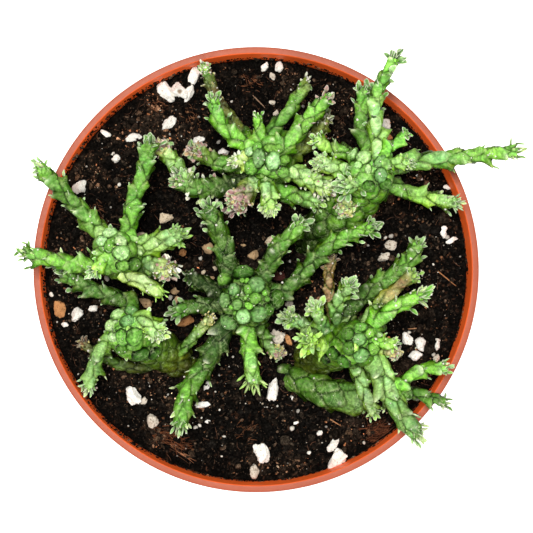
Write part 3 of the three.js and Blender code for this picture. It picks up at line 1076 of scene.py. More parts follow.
def cushion_form(seed: int) -> Form:
    """A round tubercle of radius 1, with its eye on +Z, a furrowed skin and a dark foot of painted shade,
    with painted light and sheen on its top.

    Args:
        seed: picks one of many tubercles.

    Returns:
        The closed shape.
    """
    form = ball(4)
    x, y, z = form.points.T
    around, lean = np.arctan2(y, x), np.arccos(np.clip(z, -1, 1))
    drift = rough(form.points, 0.9, 3, seed)
    fine = rough(form.points, 0.3, 2, seed + 1)
    furrows = np.cos(7 * around + 5 * drift) * smooth(0.15, 0.7, lean)
    rings = np.cos(15 * lean + 10 * drift)
    folds = np.exp(-((rough(form.points, 0.8, 2, seed + 2) / 0.08) ** 2)) * smooth(0.2, 0.5, lean)
    eye = smooth(0.26, 0.1, lean)
    stretched = form.points * np.array([1, 2.4, 1])
    # The wax streaks are painted sheen: pale streaks on the upper half that stand in for reflections.
    wax = smooth(0.1, 0.5, rough(stretched, 0.36, 2, seed + 3)) * smooth(0.1, 0.7, z)
    height = 0.14 * drift + 0.03 * furrows + 0.014 * rings + 0.05 * fine - 0.07 * folds - 0.08 * eye
    form.points = form.points * (1 + height)[:, None]
    # Painted light and shade: dark at the foot, light on top, darker in the folds, lighter and darker
    # across the furrows and rings; the hue below makes the lit top paler and bluer.
    shade = 0.04 + 1.2 * smooth(0.0, 0.9, z)
    shade = shade * (1 + 0.12 * furrows + 0.07 * rings + 0.34 * fine) * (1 - 0.35 * eye) * (1 - 0.5 * folds)
    painted_light_hue = np.array([0.84, 1.0, 0.6]) + smooth(0.2, 0.95, z)[:, None] * np.array([0.26, 0.02, 0.62])
    form.tint = np.maximum(shade, 0.04)[:, None] * painted_light_hue * (1 + wax[:, None] * np.array([0.55, 0.3, 0.7]))
    return form


class LimbFinish:
    """The numbers of a limb's finishes, and the materials."""

    SKIN, LEAF, DRIED = 0, 1, 2

    def __init__(self) -> None:
        """Makes the three materials that stems and arms share."""
        self.materials = [
            skin_finish("waxy_skin", (0.3, 0.5), 0.05),
            skin_finish("young_leaf", (0.4, 0.6), 0.08),
            dry_finish(),
        ]


@dataclass
class Limb:
    """What stems and arms have in common: a straight skin with tubercles that is bent onto a spine."""

    spine: Spine
    radius_at: Radius
    dome: float
    pads: Pads
    tones: Sequence[Tone]
    seed: int
    step: float = 0.23
    light: float = 0.0  # the least painted daylight in its tint

    def __post_init__(self) -> None:
        """Sets out the outline, the tubercles and the limb's own random numbers."""
        self.rng = np.random.default_rng(self.seed)
        self.outline = Outline.of(self.radius_at, self.spine.length, self.dome, self.step)
        self.tubercles = Tubercles.on(self.outline, self.pads, self.rng)
        tub, pads, count = self.tubercles, self.pads, len(self.tubercles.size)
        self.shades = self.rng.normal(1, 0.12, count)
        self.vigour = self.rng.uniform(0.3, 1.0, count) ** 2 * 1.5
        self.tooth = tub.size * pads.tooth * self.vigour
        forward = 0.42 * tub.size * pads.stretch * (1 - 0.75 * pads.ball)
        self.tips = tub.centre + tub.ahead * forward[:, None]
        rise = 0.2 * tub.size * pads.relief + 0.75 * self.tooth
        self.tops = self.tips + tub.out * rise[:, None] + tub.ahead * (0.45 * self.tooth)[:, None]

    def skin(self) -> Form:
        """Makes the skin, with a raised pad at each tubercle and a dark seam of painted shade between pads,
        painted shade in its hollows and folds and low down, and painted light where it faces up.

        Returns:
            The closed skin, bent onto the spine.
        """
        outline, pads, tub = self.outline, self.pads, self.tubercles
        sides = int(max(24, round(2 * math.pi * float(outline.radius.max()) / self.step)))
        angle = np.linspace(0, 2 * math.pi, sides, endpoint=False)
        cos, sin = np.cos(angle), np.sin(angle)
        rise, spread = (value[:, None] * np.ones(sides) for value in outline.slopes())
        radius, height = (value[:, None] * np.ones(sides) for value in (outline.radius, outline.height))
        flat = np.stack([radius * cos, radius * sin, height], -1).reshape(-1, 3)
        out = np.stack([rise * cos, rise * sin, -spread], -1).reshape(-1, 3)
        ahead = np.stack([spread * cos, spread * sin, rise], -1).reshape(-1, 3)

        gap = flat[:, None, :] - tub.centre[None]
        forward = np.einsum("vnk,nk->vn", gap, tub.ahead)
        across = np.maximum((gap**2).sum(-1) - forward**2, 0)
        reach = np.sqrt((forward / pads.stretch) ** 2 + across) / tub.size
        order = np.argpartition(reach, 1, axis=1)[:, :2]
        pair = np.take_along_axis(reach, order, 1)
        own = np.where(pair[:, 0] <= pair[:, 1], order[:, 0], order[:, 1])
        near, border = pair.min(1), pair.max(1) - pair.min(1)
        size = tub.size[own]
        lean = np.clip(np.take_along_axis(forward, own[:, None], 1)[:, 0] / (size * pads.stretch), -1, 1)
        tip_gap = np.linalg.norm(flat - self.tips[own], axis=1) / size

        creases = rough(flat, 1.2, 3, self.seed)
        lumps = swell(flat, 4.5, self.seed + 1)
        patch = smooth(-0.3, 0.4, swell(flat, 3.0, self.seed + 2))
        wrinkles = patch * np.sin(2 * math.pi * (flat[:, 2] + 0.8 * creases) / WRINKLE + own)
        folds = np.exp(-((rough(flat, 1.9, 2, self.seed + 3) / 0.07) ** 2)) * smooth(-0.5, 0.3, creases)
        cushion = np.sqrt(1 - (1 - np.clip(border / 1.1, 0, 1)) ** 2)
        dome = np.sqrt(np.clip(1 - (near / 1.12) ** 2, 0, 1))
        crest = (1 - pads.ball) * cushion + pads.ball * dome
        threads = np.exp(-((rough(flat, 1.3, 2, self.seed + 10) / 0.08) ** 2)) * smooth(0.1, 0.5, border)
        lift = size * pads.relief * (crest - 0.5 + 0.3 * (1 - pads.ball) * lean)
        lift = lift + 0.13 * creases + 0.05 * wrinkles - 0.13 * folds
        lift = lift + 0.07 * radius.ravel() * lumps + 0.07 * threads
        tooth = self.tooth[own] * np.exp(-((tip_gap / 0.42) ** 2))
        place = flat + out * lift[:, None] + (0.85 * out + 0.5 * ahead) * tooth[:, None]

        share = np.repeat(outline.run / outline.run[-1], sides)
        base = along_tones(self.tones, np.clip(share + 0.05 * creases, 0, 1))
        warm = rough(flat, 3.4, 2, self.seed + 9)
        base = base * np.stack([1 + 0.24 * warm, 1 + 0.04 * warm, 1 - 0.2 * warm], -1)
        mottle = 1 + 0.22 * rough(flat, 2.1, 2, self.seed + 5) + 0.4 * rough(flat, 0.8, 2, self.seed + 6)
        bold = np.clip(0.62 + 2.0 * rough(flat, 3.2, 2, self.seed + 7) + 0.3 * lean, 0.0, 1)
        # Painted shade: hollow sinks from 1 on a pad towards the borders between pads, where the tint below
        # is darkened and made less blue.
        hollow = 1 - (1 - smooth(0.0, 0.6, border)) * (0.4 + 0.6 * bold)
        # The tubercle's own tone, mottle and pale threads, with painted light and shade across the wrinkles
        # and painted shade in the hollows and folds.
        shade = self.shades[own] * mottle * (0.46 + 0.66 * hollow) * (1 + 0.22 * wrinkles)
        shade = shade * (1 - 0.55 * folds) * (0.93 + 0.4 * threads)
        tint = base * shade[:, None] * (1 - (1 - hollow)[:, None] * np.array([0.1, 0, 0.55]))
        waxed = smooth(0.06, 0.5, rough(flat, 0.7, 2, self.seed + 8))
        tint = blended(tint, Tone.PALE.value, 0.22 * waxed * hollow)
        rim = smooth(0.0, 0.6, lean) * smooth(0.5, 0.2, border) * smooth(-0.4, 0.4, creases)
        tint = blended(tint, Tone.PALE.value, 0.5 * rim * (1 - pads.ball))
        # Painted shade: a dark line in the groove between pads, stronger where bold is high.
        seam = 1 - bold * (1 - smooth(0.05, pads.seam + 0.02, border))
        tint = blended(tint * np.array([0.12, 0.2, 0.1]), tint, seam)
        scar = np.exp(-((tip_gap / 0.2) ** 2)) * self.vigour[own]
        tint = blended(tint, Tone.CREAM.value, 0.5 * scar)
        bent = self.spine.bent(place)
        rows = len(outline.run)
        # Painted light: a little paler where the skin faces up, darker where it faces sideways or down,
        # darker low by the mix and brighter high up.
        upward = (self.spine.bent(flat + 0.1 * out) - self.spine.bent(flat))[:, 2:] / 0.1
        skyward = smooth(0.5, 1.0, upward)[:, 0]
        tint = blended(tint, Tone.PALE.value, 0.05 * (skyward * hollow))
        tint = tint * np.array([0.97, 1.0, 0.74])
        tint = tint * (0.18 + 1.02 * smooth(-0.2, 0.95, upward)) ** np.array([1.15, 0.95, 2.9])
        tint = np.minimum(tint * np.maximum(daylight(bent), self.light)[:, None], BRIGHTEST)
        return tube(bent.reshape(rows, sides, 3), tint.reshape(rows, sides, 3))

    def scars(self, piece: Piece, share: float, radius: Range) -> None:
        """Adds the pale scars that fallen leaves left on the tubercles' tips.

        Args:
            piece: the piece that takes them.
            share: the share of the tubercles that show one.
            radius: the least and the greatest radius of a scar.
        """
        chosen = np.nonzero(self.rng.random(len(self.tops)) < share)[0]
        offsets = self.spine.bent(self.tops[chosen])
        sizes = self.rng.uniform(*radius, len(chosen))
        turns = turned_at_random(self.rng, len(chosen)) * sizes[:, None, None]
        white = np.array(Tone.CREAM.value) * self.rng.uniform(0.35, 1.0, (len(chosen), 1))
        piece.add_copies(ball(1), turns, offsets, white, LimbFinish.DRIED)

    def leaves(self, piece: Piece, foliage: Foliage, finish: int) -> None:
        """Adds the limb's leaves: along it, thicker towards the tip, and a rosette at its end.

        Args:
            piece: the piece that takes them.
            foliage: their kind and places.
            finish: the number of their finish.
        """
        tub, rng = self.tubercles, self.rng
        grown = tub.share > foliage.start
        dense = rng.random(len(grown)) < foliage.density
        stray = rng.random(len(grown)) < foliage.stray
        keep = ((grown & dense) | stray) & (tub.share > 0.12)
        age = smooth(foliage.start - 0.1, 1.0, tub.share[keep])
        base = self.tops[keep] - tub.out[keep] * (0.15 * tub.size[keep])[:, None]
        out, ahead = tub.out[keep], tub.ahead[keep]
        lean = np.interp(age, (0, 1), foliage.spread) + rng.normal(0, 60 * foliage.tousle, len(age))
        length = foliage.length * (0.6 + 0.4 * age) * rng.uniform(0.7, 1.2, len(age))

        ring = (np.arange(foliage.crown) + 0.5) / max(foliage.crown, 1)
        angle = np.arange(foliage.crown) * GOLDEN_TURN + rng.uniform(0, 6)
        polar = np.radians(84 - 70 * ring)
        crown_out, crown_base = self._on_dome(polar, angle)
        crown_ahead = np.broadcast_to(UPWARD, crown_out.shape)
        crown_spread = polar * rng.uniform(0.75, 1.1, foliage.crown)
        crown_length = foliage.length * (1.1 - 0.6 * ring) * rng.uniform(0.8, 1.15, foliage.crown)

        base = np.concatenate([base, crown_base])
        out = np.concatenate([out, crown_out])
        ahead = np.concatenate([ahead, crown_ahead])
        spread = np.concatenate([np.radians(lean), crown_spread])[:, None]
        length = np.concatenate([length, crown_length])
        heading = np.cos(spread) * ahead + np.sin(spread) * out
        heading = unit(heading + rng.normal(0, foliage.tousle, out.shape))
        inward = unit(ahead - out * 0.6)
        self._plant(piece, foliage, finish, base, heading, inward, length)
        self._knobs(piece, foliage, finish)

    def _on_dome(self, polar: Array, angle: Array) -> tuple[Array, Array]:
        """Finds places on the limb's end.

        Args:
            polar: their angles from the limb's axis.
            angle: their angles round it.

        Returns:
            The outward directions there, and the places.
        """
        last = float(self.radius_at(np.array([1.0]))[0])
        cos, sin = np.cos(angle), np.sin(angle)
        out = np.stack([cos, sin, np.zeros_like(cos)], -1)
        seat = 0.85 * last * np.sin(polar)
        height = self.spine.length - self.dome * (1 - 0.85 * np.cos(polar))
        return out, np.stack([seat * cos, seat * sin, height], -1)

    def _plant(
        self,
        piece: Piece,
        foliage: Foliage,
        finish: int,
        base: Array,
        heading: Array,
        inward: Array,
        length: Array,
    ) -> None:
        """Puts leaves at places of the straight limb, bent with it.

        Args:
            piece: the piece that takes them.
            foliage: their kind and colours.
            finish: the number of their finish.
            base: where each leaf starts.
            heading: where each leaf points.
            inward: the side that each leaf's upper face is turned to.
            length: each leaf's length.
        """
        place = self.spine.bent(base)
        along = self.spine.turned(base, heading)
        along = unit(along * np.where(along[:, 2:] > 0, (1, 1, 0.6), 1.0))
        facing = unit(self.spine.turned(base, inward) + UPWARD)
        across = unit(np.cross(along, facing) + self.rng.normal(0, foliage.tousle, along.shape))
        up = unit(np.cross(across, along))
        turns = np.stack([across, along, up], axis=-1) * length[:, None, None]
        forms = foliage.shape.forms()
        shape, tone = self.rng.integers(0, (len(forms), len(foliage.tones)), (len(base), 2)).T
        # Painted light and shade by height, with a random spread of tone.
        light = self.rng.normal(1, 0.13, (len(base), 1)) * (0.4 + 0.6 * daylight(place)[:, None])
        for (k, form), (n, blade) in itertools.product(enumerate(forms), enumerate(foliage.tones)):
            chosen = (shape == k) & (tone == n)
            rim = np.array(foliage.margin.value) / np.array(blade.value)
            shades = blended(np.ones(3), rim, 0.85 * form.tint[:, 0]) * form.tint[:, 1:2] * 1.2
            toned = Form(form.points, form.quads, form.tris, shades)
            piece.add_copies(toned, turns[chosen], place[chosen], blade.value * light[chosen], finish)

    def _knobs(self, piece: Piece, foliage: Foliage, finish: int) -> None:
        """Adds the small round buds among the leaves of the tip.

        Args:
            piece: the piece that takes them.
            foliage: their number, size and colours.
            finish: the number of their finish.
        """
        rng, count = self.rng, foliage.knobs
        polar = np.radians(rng.uniform(0, 100, count))
        out, base = self._on_dome(polar, rng.uniform(0, 2 * math.pi, count))
        height = UPWARD * (rng.uniform(-1.6, 0.2, (count, 1)) * (polar[:, None] > 1))
        straight = base + out * rng.uniform(0, 0.5, (count, 1)) + height
        form = ball(2)
        form.points = form.points * (1 + 0.25 * rough(form.points, 0.8, 2, self.seed))[:, None]
        size = foliage.knob * rng.uniform(0.6, 1.4, (count, 1, 1)) * rng.uniform(0.7, 1.2, (count, 1, 3))
        turns = turned_at_random(rng, count) * size
        tones = np.array([tone.value for tone in foliage.tones])
        tints = tones[rng.integers(0, len(tones), count)] * rng.normal(1, 0.13, (count, 1))
        piece.add_copies(form, turns, self.spine.bent(straight), 1.05 * tints, finish)


@dataclass(frozen=True)
class Cushion:
    """A large tubercle of a crown, where the photograph shows it, in pixels."""

    x: float
    y: float
    wide: float  # half its width
    long: float  # half its length
    turn: float  # the angle from the photograph's +X to its length, in degrees
    tone: Tone


@dataclass(frozen=True)
class StemPlan:
    """One stem: its radii at the foot and the crown, its route above the mix, and its colours."""

    foot: float
    crown: float
    route: Route
    tones: tuple[Tone, ...]
    pads: Pads = Pads((2.3, 2.4), 1.15, 0.45, 0.1, 0.1, 0.45)
    stand: float = 0.75  # how far its cushions stand out, over their radius
    leafy: bool = True  # whether its crown bears small leaves
    light: float = 0.0  # the least painted daylight in its tint


@dataclass(frozen=True)
class ArmPlan:
    """One arm: its diameters at root and tip, its route above the mix, its habit and colours."""

    base: float
    tip: float
    route: Route
    habit: Habit
    tones: tuple[Tone, ...]
    leaf: Tone | None = None
    length: float | None = None  # the length of its leaves, where its habit's doesn't fit
    on: str = ""  # what it grows on, where that isn't the stem of its own letter


def placed(route: Route) -> Array:
    """A route's points, with their heights above the mix turned into heights above the floor."""
    return np.array(route, float) + np.array([0, 0, MIX_LEVEL])


# ---------------------------------------------------------------- the plant

STEMS = {
    "stem_a": StemPlan(
        5.4, 7, ((-2, -9, -10), (-2.3, -8.7, 6), (-2.5, -8.5, 22)),
        (T.OLIVE, T.MID, T.FOREST, T.FOREST), stand=1.0, leafy=False,
    ),
    "stem_b": StemPlan(
        5, 5.7, ((4, 25, -10), (3.2, 27.5, 8), (2.3, 28.9, 25)), (T.OLIVE, T.FOREST, T.MID, T.MID)
    ),
    "stem_c": StemPlan(
        5.4, 5.6, ((13, 6, -9), (18.5, 11.5, 5), (26.8, 19.4, 17), (30, 26.3, 30)),
        (T.FOREST, T.FOREST, T.MID, T.MID),
    ),
    "stem_d": StemPlan(
        5, 5.8, ((-28.5, -1, -9), (-31.5, 0.5, 5), (-36, 3, 15), (-38, 4.6, 25)),
        (T.OLIVE, T.FOREST, T.MID, T.MID),
    ),
    "stem_e": StemPlan(
        4.6, 5.8, ((-19.5, -25.5, -8), (-22.6, -23.8, 3), (-29.4, -19.6, 13), (-35.8, -15.6, 23)),
        (T.OLIVE, T.OLIVE, T.MID, T.MID), light=0.7,
    ),
    "stem_f": StemPlan(
        5.6, 5.4, ((14, -24.5, -8), (17.5, -22.5, 4), (22.5, -20.5, 15), (28.4, -19.3, 25)),
        (T.OLIVE, T.OLIVE, T.MID, T.FOREST), leafy=False, light=0.5,
    ),
    "stem_g": StemPlan(
        3.4, 4.1, ((4, -26.4, -9), (10.5, -29.8, -0.4), (18, -33, 4.4), (30, -36.2, 5.8)),
        (T.FOREST, T.MID, T.MID, T.MINT), Pads((2.6, 2.4), 1.2, 0.2, 0.4), leafy=False, light=0.55,
    ),
}

ARMS = {
    "arm_a1": ArmPlan(
        6.6, 4.6, ((-7.6, 0.4, 11), (-9, 6.6, 13), (-11.2, 12, 15), (-13.6, 16.4, 17)),
        H.LEAFY, (T.DEEP, T.FOREST, T.FOREST),
    ),
    "arm_a2": ArmPlan(
        5.6, 4, ((2.3, -0.8, 14), (5.4, 5.2, 17), (12.2, 11.8, 20)), H.LEAFY, (T.FOREST, T.FOREST, T.MID)
    ),
    "arm_a3": ArmPlan(
        4.6, 3.6, ((7.2, -5.8, 14), (12, -1.6, 14), (18, 5, 14.4), (23.4, 8.3, 15), (31, 11, 17)),
        H.LEAFY, (T.DEEP, T.FOREST, T.FOREST, T.BRIGHT, T.MID),
    ),
    "arm_a4": ArmPlan(
        3.8, 3.2, ((1.2, -16, 8), (3.2, -20.6, 9), (6.4, -23.2, 11)),
        H.WITHERED, (T.FOREST, T.MID, T.PALE), T.STRAW, 1.4,
    ),
    "arm_a5": ArmPlan(
        4.9, 4.2, ((-2.7, -14.5, 14), (-2.2, -20.3, 16), (-1, -31, 17)),
        H.FINE, (T.BRIGHT, T.BRIGHT, T.MINT),
    ),
    "arm_a6": ArmPlan(
        6.4, 4.6, ((-8.8, -16.3, 10), (-12.9, -24.2, 10), (-18.8, -33.4, 12), (-20.4, -42.2, 14)),
        H.RAGGED, (T.DEEP, T.DEEP, T.FOREST, T.BRIGHT, T.MID), T.MINT, 2.2,
    ),
    "arm_a7": ArmPlan(
        5, 3.6, ((-10, -9.8, 9.5), (-16, -10, 10), (-22.6, -11.8, 11)),
        H.LEAFY, (T.DEEP, T.DEEP, T.FOREST, T.BRIGHT),
    ),
    "arm_a8": ArmPlan(
        4.8, 4.2, ((-11.2, -5.6, 6), (-15.4, -3.6, 7), (-19, -1.6, 8)),
        H.BARE, (T.DEEP, T.DEEP, T.DEEP), T.FOREST, 1.4,
    ),
    "arm_b1": ArmPlan(
        4.6, 3.2, ((-4.2, 33.2, 20), (-9, 36.5, 21), (-12, 44.2, 22)),
        H.STUBBY, (T.BRIGHT, T.BRIGHT, T.MID),
    ),
    "arm_b2": ArmPlan(
        3.6, 3.2, ((-3.2, 35.4, 12), (-7.6, 41, 10), (-11.2, 46.8, 9), (-13.4, 52.8, 9)),
        H.DRY, (T.FOREST, T.OLIVE, T.OLIVE, T.BROWN, T.MID),
    ),
    "arm_b3": ArmPlan(
        4, 3, ((3.2, 34.9, 18), (8.2, 41.2, 17), (13.2, 49.6, 16)),
        H.BARE, (T.MID, T.MID, T.MID, T.OLIVE), T.CREAM, 1.4,
    ),
    "arm_b4": ArmPlan(
        5, 3.8, ((7.4, 32.2, 22), (12.8, 38.4, 21), (18.6, 44.6, 21)),
        H.STUBBY, (T.MID, T.MID, T.BRIGHT), T.PINK, 2.0,
    ),
    "arm_b5": ArmPlan(
        4.8, 3.6, ((9.4, 30.4, 13), (15.4, 35.4, 12), (18.6, 41, 12)),
        H.KNOBBLY, (T.FOREST, T.OLIVE, T.OLIVE), T.OLIVE, 1.7,
    ),
    "arm_b6": ArmPlan(
        5.2, 4, ((-5.4, 27.6, 13), (-10.6, 28.4, 12), (-17.4, 31.8, 13)),
        H.WITHERED, (T.MID, T.MID, T.OLIVE), T.TAN, 1.8,
    ),
    "arm_b7": ArmPlan(
        4.8, 4, ((2.3, 22.6, 20), (2.7, 19.6, 22), (3.2, 14.3, 22)),
        H.CLUSTERED, (T.BLUE, T.MINT, T.FRESH), T.PALE, 1.9,
    ),
    "arm_b8": ArmPlan(
        5.2, 5.2, ((8, 25.6, 18), (12.6, 24, 18), (19.4, 20.2, 18)),
        H.KNOBBLY, (T.MINT, T.MINT, T.PALE), T.PALE, 1.7,
    ),
    "arm_b9": ArmPlan(
        4.6, 4.2, ((6.2, 20.4, 11), (10.5, 19.2, 12), (16.5, 17.3, 15)),
        H.STUBBY, (T.BRIGHT, T.BRIGHT, T.MINT), T.FRESH, 1.8,
    ),
    # The dark tones at its root are painted shade beneath crown b.
    "arm_b10": ArmPlan(
        6.2, 5.2, ((-4.6, 23.4, 7), (-11, 21.8, 9), (-17.5, 22, 12), (-21, 25.2, 15)),
        H.KNOBBLY, (T.DEEP, T.DEEP, T.MID, T.MINT), T.MINT, 2.1,
    ),
    "arm_b11": ArmPlan(
        4.6, 6.4, ((-1.4, 22, 17), (-4, 18.8, 19), (-6.9, 15.4, 20)),
        H.WITHERED, (T.MID, T.MINT, T.MAUVE, T.MAUVE), T.MAUVE, 1.8,
    ),
    "arm_b12": ArmPlan(
        4.6, 4, ((-21.6, 27.2, 13.8), (-23.8, 30.2, 14.2), (-26, 33.2, 14.5)),
        H.WITHERED, (T.MINT, T.MINT, T.PINK), T.PINK, 1.7, on="arm_b10",
    ),
    "arm_c1": ArmPlan(
        4.4, 3.4, ((28.6, 31, 20), (27.2, 38.2, 19), (28.2, 47.2, 20)),
        H.LEAFY, (T.MID, T.FOREST, T.BRIGHT), T.BLUE, 2.5,
    ),
    "arm_c2": ArmPlan(
        4.2, 3, ((31, 31.6, 26), (30.6, 36, 26), (30.8, 45, 27), (35.4, 54, 29)),
        H.STUBBY, (T.MINT, T.MINT, T.MID, T.BRIGHT), T.BLUE, 2.8,
    ),
    "arm_c3": ArmPlan(
        5.4, 3.2, ((36.6, 26.8, 24), (48.7, 28.2, 25), (58.6, 29.2, 26), (67, 30.2, 27)),
        H.SCALY, (T.MID, T.BLUE, T.MID, T.MID), T.BLUE, 2.3,
    ),
    "arm_c4": ArmPlan(
        4.6, 3.4, ((35, 21.6, 18), (42.2, 19.2, 17), (53, 17.1, 17)),
        H.RAGGED, (T.BLUE, T.MID, T.FRESH, T.MINT), T.MINT, 2.2,
    ),
    "arm_c5": ArmPlan(
        3.8, 3.2, ((23.6, 29.8, 21), (19, 31.2, 21), (14.8, 33.8, 22)),
        H.STUBBY, (T.MID, T.MID, T.FRESH), T.FRESH, 1.8,
    ),
    "arm_c6": ArmPlan(
        4.2, 4.6, ((22.6, 25.6, 21), (18.6, 26.4, 22), (15.2, 27.8, 23)),
        H.CLUSTERED, (T.MID, T.MINT, T.PALE), T.MINT, 1.8,
    ),
    "arm_c7": ArmPlan(
        4.4, 4, ((26, 22, 28), (23.6, 20.8, 30), (21.6, 20.6, 31)),
        H.ROSETTE, (T.BLUE, T.BLUE, T.MINT), T.BLUE, 2.6,
    ),
    "arm_c8": ArmPlan(
        5, 5.4, ((24, 17.6, 18), (23, 15.6, 21), (22, 14.4, 22.5)),
        H.WITHERED, (T.MID, T.MINT, T.STRAW), T.MINT, 1.5,
    ),
    "arm_d1": ArmPlan(
        5.2, 3.8, ((-42.2, 10.4, 19), (-47.2, 16, 20), (-52.4, 21.4, 21), (-57.2, 26.4, 22)),
        H.SPINY, (T.MINT, T.MID, T.FOREST, T.BRIGHT), T.MINT, 2.2,
    ),
    "arm_d2": ArmPlan(
        4.6, 3.8, ((-33.8, 10.2, 18), (-32.9, 16.5, 18), (-30.4, 23.5, 19), (-28.4, 33, 20)),
        H.STUBBY, (T.MID, T.BRIGHT, T.MID, T.MID), T.BLUE, 2.2,
    ),
    "arm_d3": ArmPlan(
        4.6, 3.6, ((-43, 0.4, 18), (-49.1, 1.1, 19), (-61.2, 4.1, 20)),
        H.SPINY, (T.MID, T.BRIGHT, T.MID), T.MID, 2.4,
    ),
    "arm_d4": ArmPlan(
        6, 5.4, ((-31.6, 5.4, 18), (-26.9, 6.5, 18), (-19.6, 8.6, 19)),
        H.TUFTED, (T.MID, T.MINT, T.MINT), T.MINT, 2.2,
    ),
    "arm_d5": ArmPlan(
        4.4, 3.8, ((-34.4, -2, 19), (-30.3, -3.7, 20), (-24.8, -7.2, 20)),
        H.FINE, (T.PALE, T.PALE, T.PALE, T.FRESH), T.FRESH, 1.8,
    ),
    "arm_e1": ArmPlan(
        5, 3.6, ((-34.6, -9.4, 13), (-40.4, -6.8, 13), (-47, -3.8, 13), (-51.6, -1.1, 13.5)),
        H.STUBBY, (T.MID, T.FOREST, T.FOREST, T.MID), T.BLUE, 2.2,
    ),
    "arm_e2": ArmPlan(
        4.4, 3.4, ((-39.6, -19.6, 18), (-42.2, -23.7, 17), (-44.6, -32, 15)),
        H.RAGGED, (T.MINT, T.BLUE, T.MINT), T.MINT, 2.2,
    ),
    "arm_e3": ArmPlan(
        3.4, 2.4, ((-30.1, -26.5, 4.6), (-38.2, -25.3, 4.6), (-47.4, -20, 5)),
        H.DRY, (T.FOREST, T.OLIVE, T.MID, T.TAN),
    ),
    "arm_e4": ArmPlan(
        5.2, 5, ((-30.6, -13.8, 21.5), (-28, -15, 23.5), (-25, -17.4, 23.5)),
        H.CLUSTERED, (T.MID, T.MINT, T.MINT), T.MINT, 2.2,
    ),
    "arm_e5": ArmPlan(
        2.8, 3.2, ((-20.9, -22.6, 8), (-16.6, -17.9, 12), (-11.8, -12.8, 15)),
        H.DRY, (T.FRESH, T.MID, T.MINT, T.STRAW), T.STRAW, 0.9,
    ),
    "arm_f1": ArmPlan(
        4.6, 3.6, ((30.4, -15, 20), (35.1, -10.8, 21), (43, -7, 22)),
        H.RAGGED, (T.BRIGHT, T.BRIGHT, T.BRIGHT), T.BRIGHT, 3.2,
    ),
    "arm_f2": ArmPlan(
        4, 3.2, ((29.8, -12.8, 14), (35.2, -6.6, 15), (42.2, -1.4, 16)),
        H.BARE, (T.MID, T.MINT, T.MINT, T.STRAW, T.BROWN, T.FRESH), T.FRESH, 1.6,
    ),
    "arm_f3": ArmPlan(
        6.2, 4, ((24.8, -10.4, 10), (32.6, -4.4, 11), (39.6, 1.2, 13), (43, 7.2, 15)),
        H.LEAFY, (T.DEEP, T.FOREST, T.MID, T.MID), T.MINT, 2.2,
    ),
    "arm_f4": ArmPlan(
        4, 3.4, ((20.8, -13, 17), (21.4, -8.4, 18), (24.6, -4.4, 19)), H.ROSETTE, (T.BLUE, T.BLUE, T.MINT)
    ),
    "arm_f5": ArmPlan(
        3.8, 3.4, ((17, -15, 17), (15.8, -12.4, 19), (14.4, -9.8, 20)),
        H.CLUSTERED, (T.BLUE, T.BLUE, T.MINT), T.MINT, 2.4,
    ),
    "arm_f6": ArmPlan(
        4.4, 3.6, ((13.6, -16, 11), (10.6, -14, 12), (7.4, -12.8, 13)),
        H.CLUSTERED, (T.MINT, T.MINT, T.BLUE), T.MINT, 2.2,
    ),
    "arm_f7": ArmPlan(
        4.4, 4, ((15.6, -20, 19), (13.8, -19.3, 22), (12.5, -18.8, 25)),
        H.TUFTED, (T.MID, T.FRESH, T.FRESH), T.FRESH, 3.0,
    ),
    "arm_f8": ArmPlan(
        3, 2.8, ((19.7, -8.4, 9), (19.3, -1, 9), (20.3, 3.4, 9)), H.DRY, (T.TAN, T.TAN, T.TAN)
    ),
    "arm_f9": ArmPlan(
        4, 3.2, ((25.9, -26.2, 14), (27.9, -31.5, 13.5), (31, -38.8, 13)),
        H.STUBBY, (T.MID, T.MINT, T.PALE), T.FRESH, 1.8,
    ),
    "arm_f10": ArmPlan(
        7.6, 4.8, ((31.2, -25.2, 18), (34.3, -32.1, 18), (37.5, -37.9, 18), (42.4, -44.4, 18)),
        H.RAGGED, (T.MID, T.MINT, T.BLUE, T.BLUE), T.MINT, 2.4,
    ),
    "arm_f11": ArmPlan(
        3.8, 2.8, ((38.2, -30, 17), (43.3, -27, 17), (49.4, -26.1, 17)),
        H.SPINY, (T.BRIGHT, T.BRIGHT, T.BRIGHT), T.BRIGHT, 2.2, on="arm_f10",
    ),
    "arm_f12": ArmPlan(
        3.4, 2.4, ((40, -32.9, 15), (45.4, -34.2, 15), (49.8, -35.7, 15)),
        H.SPINY, (T.FOREST, T.FOREST, T.MID), T.MID, 2.2, on="arm_f10",
    ),
}
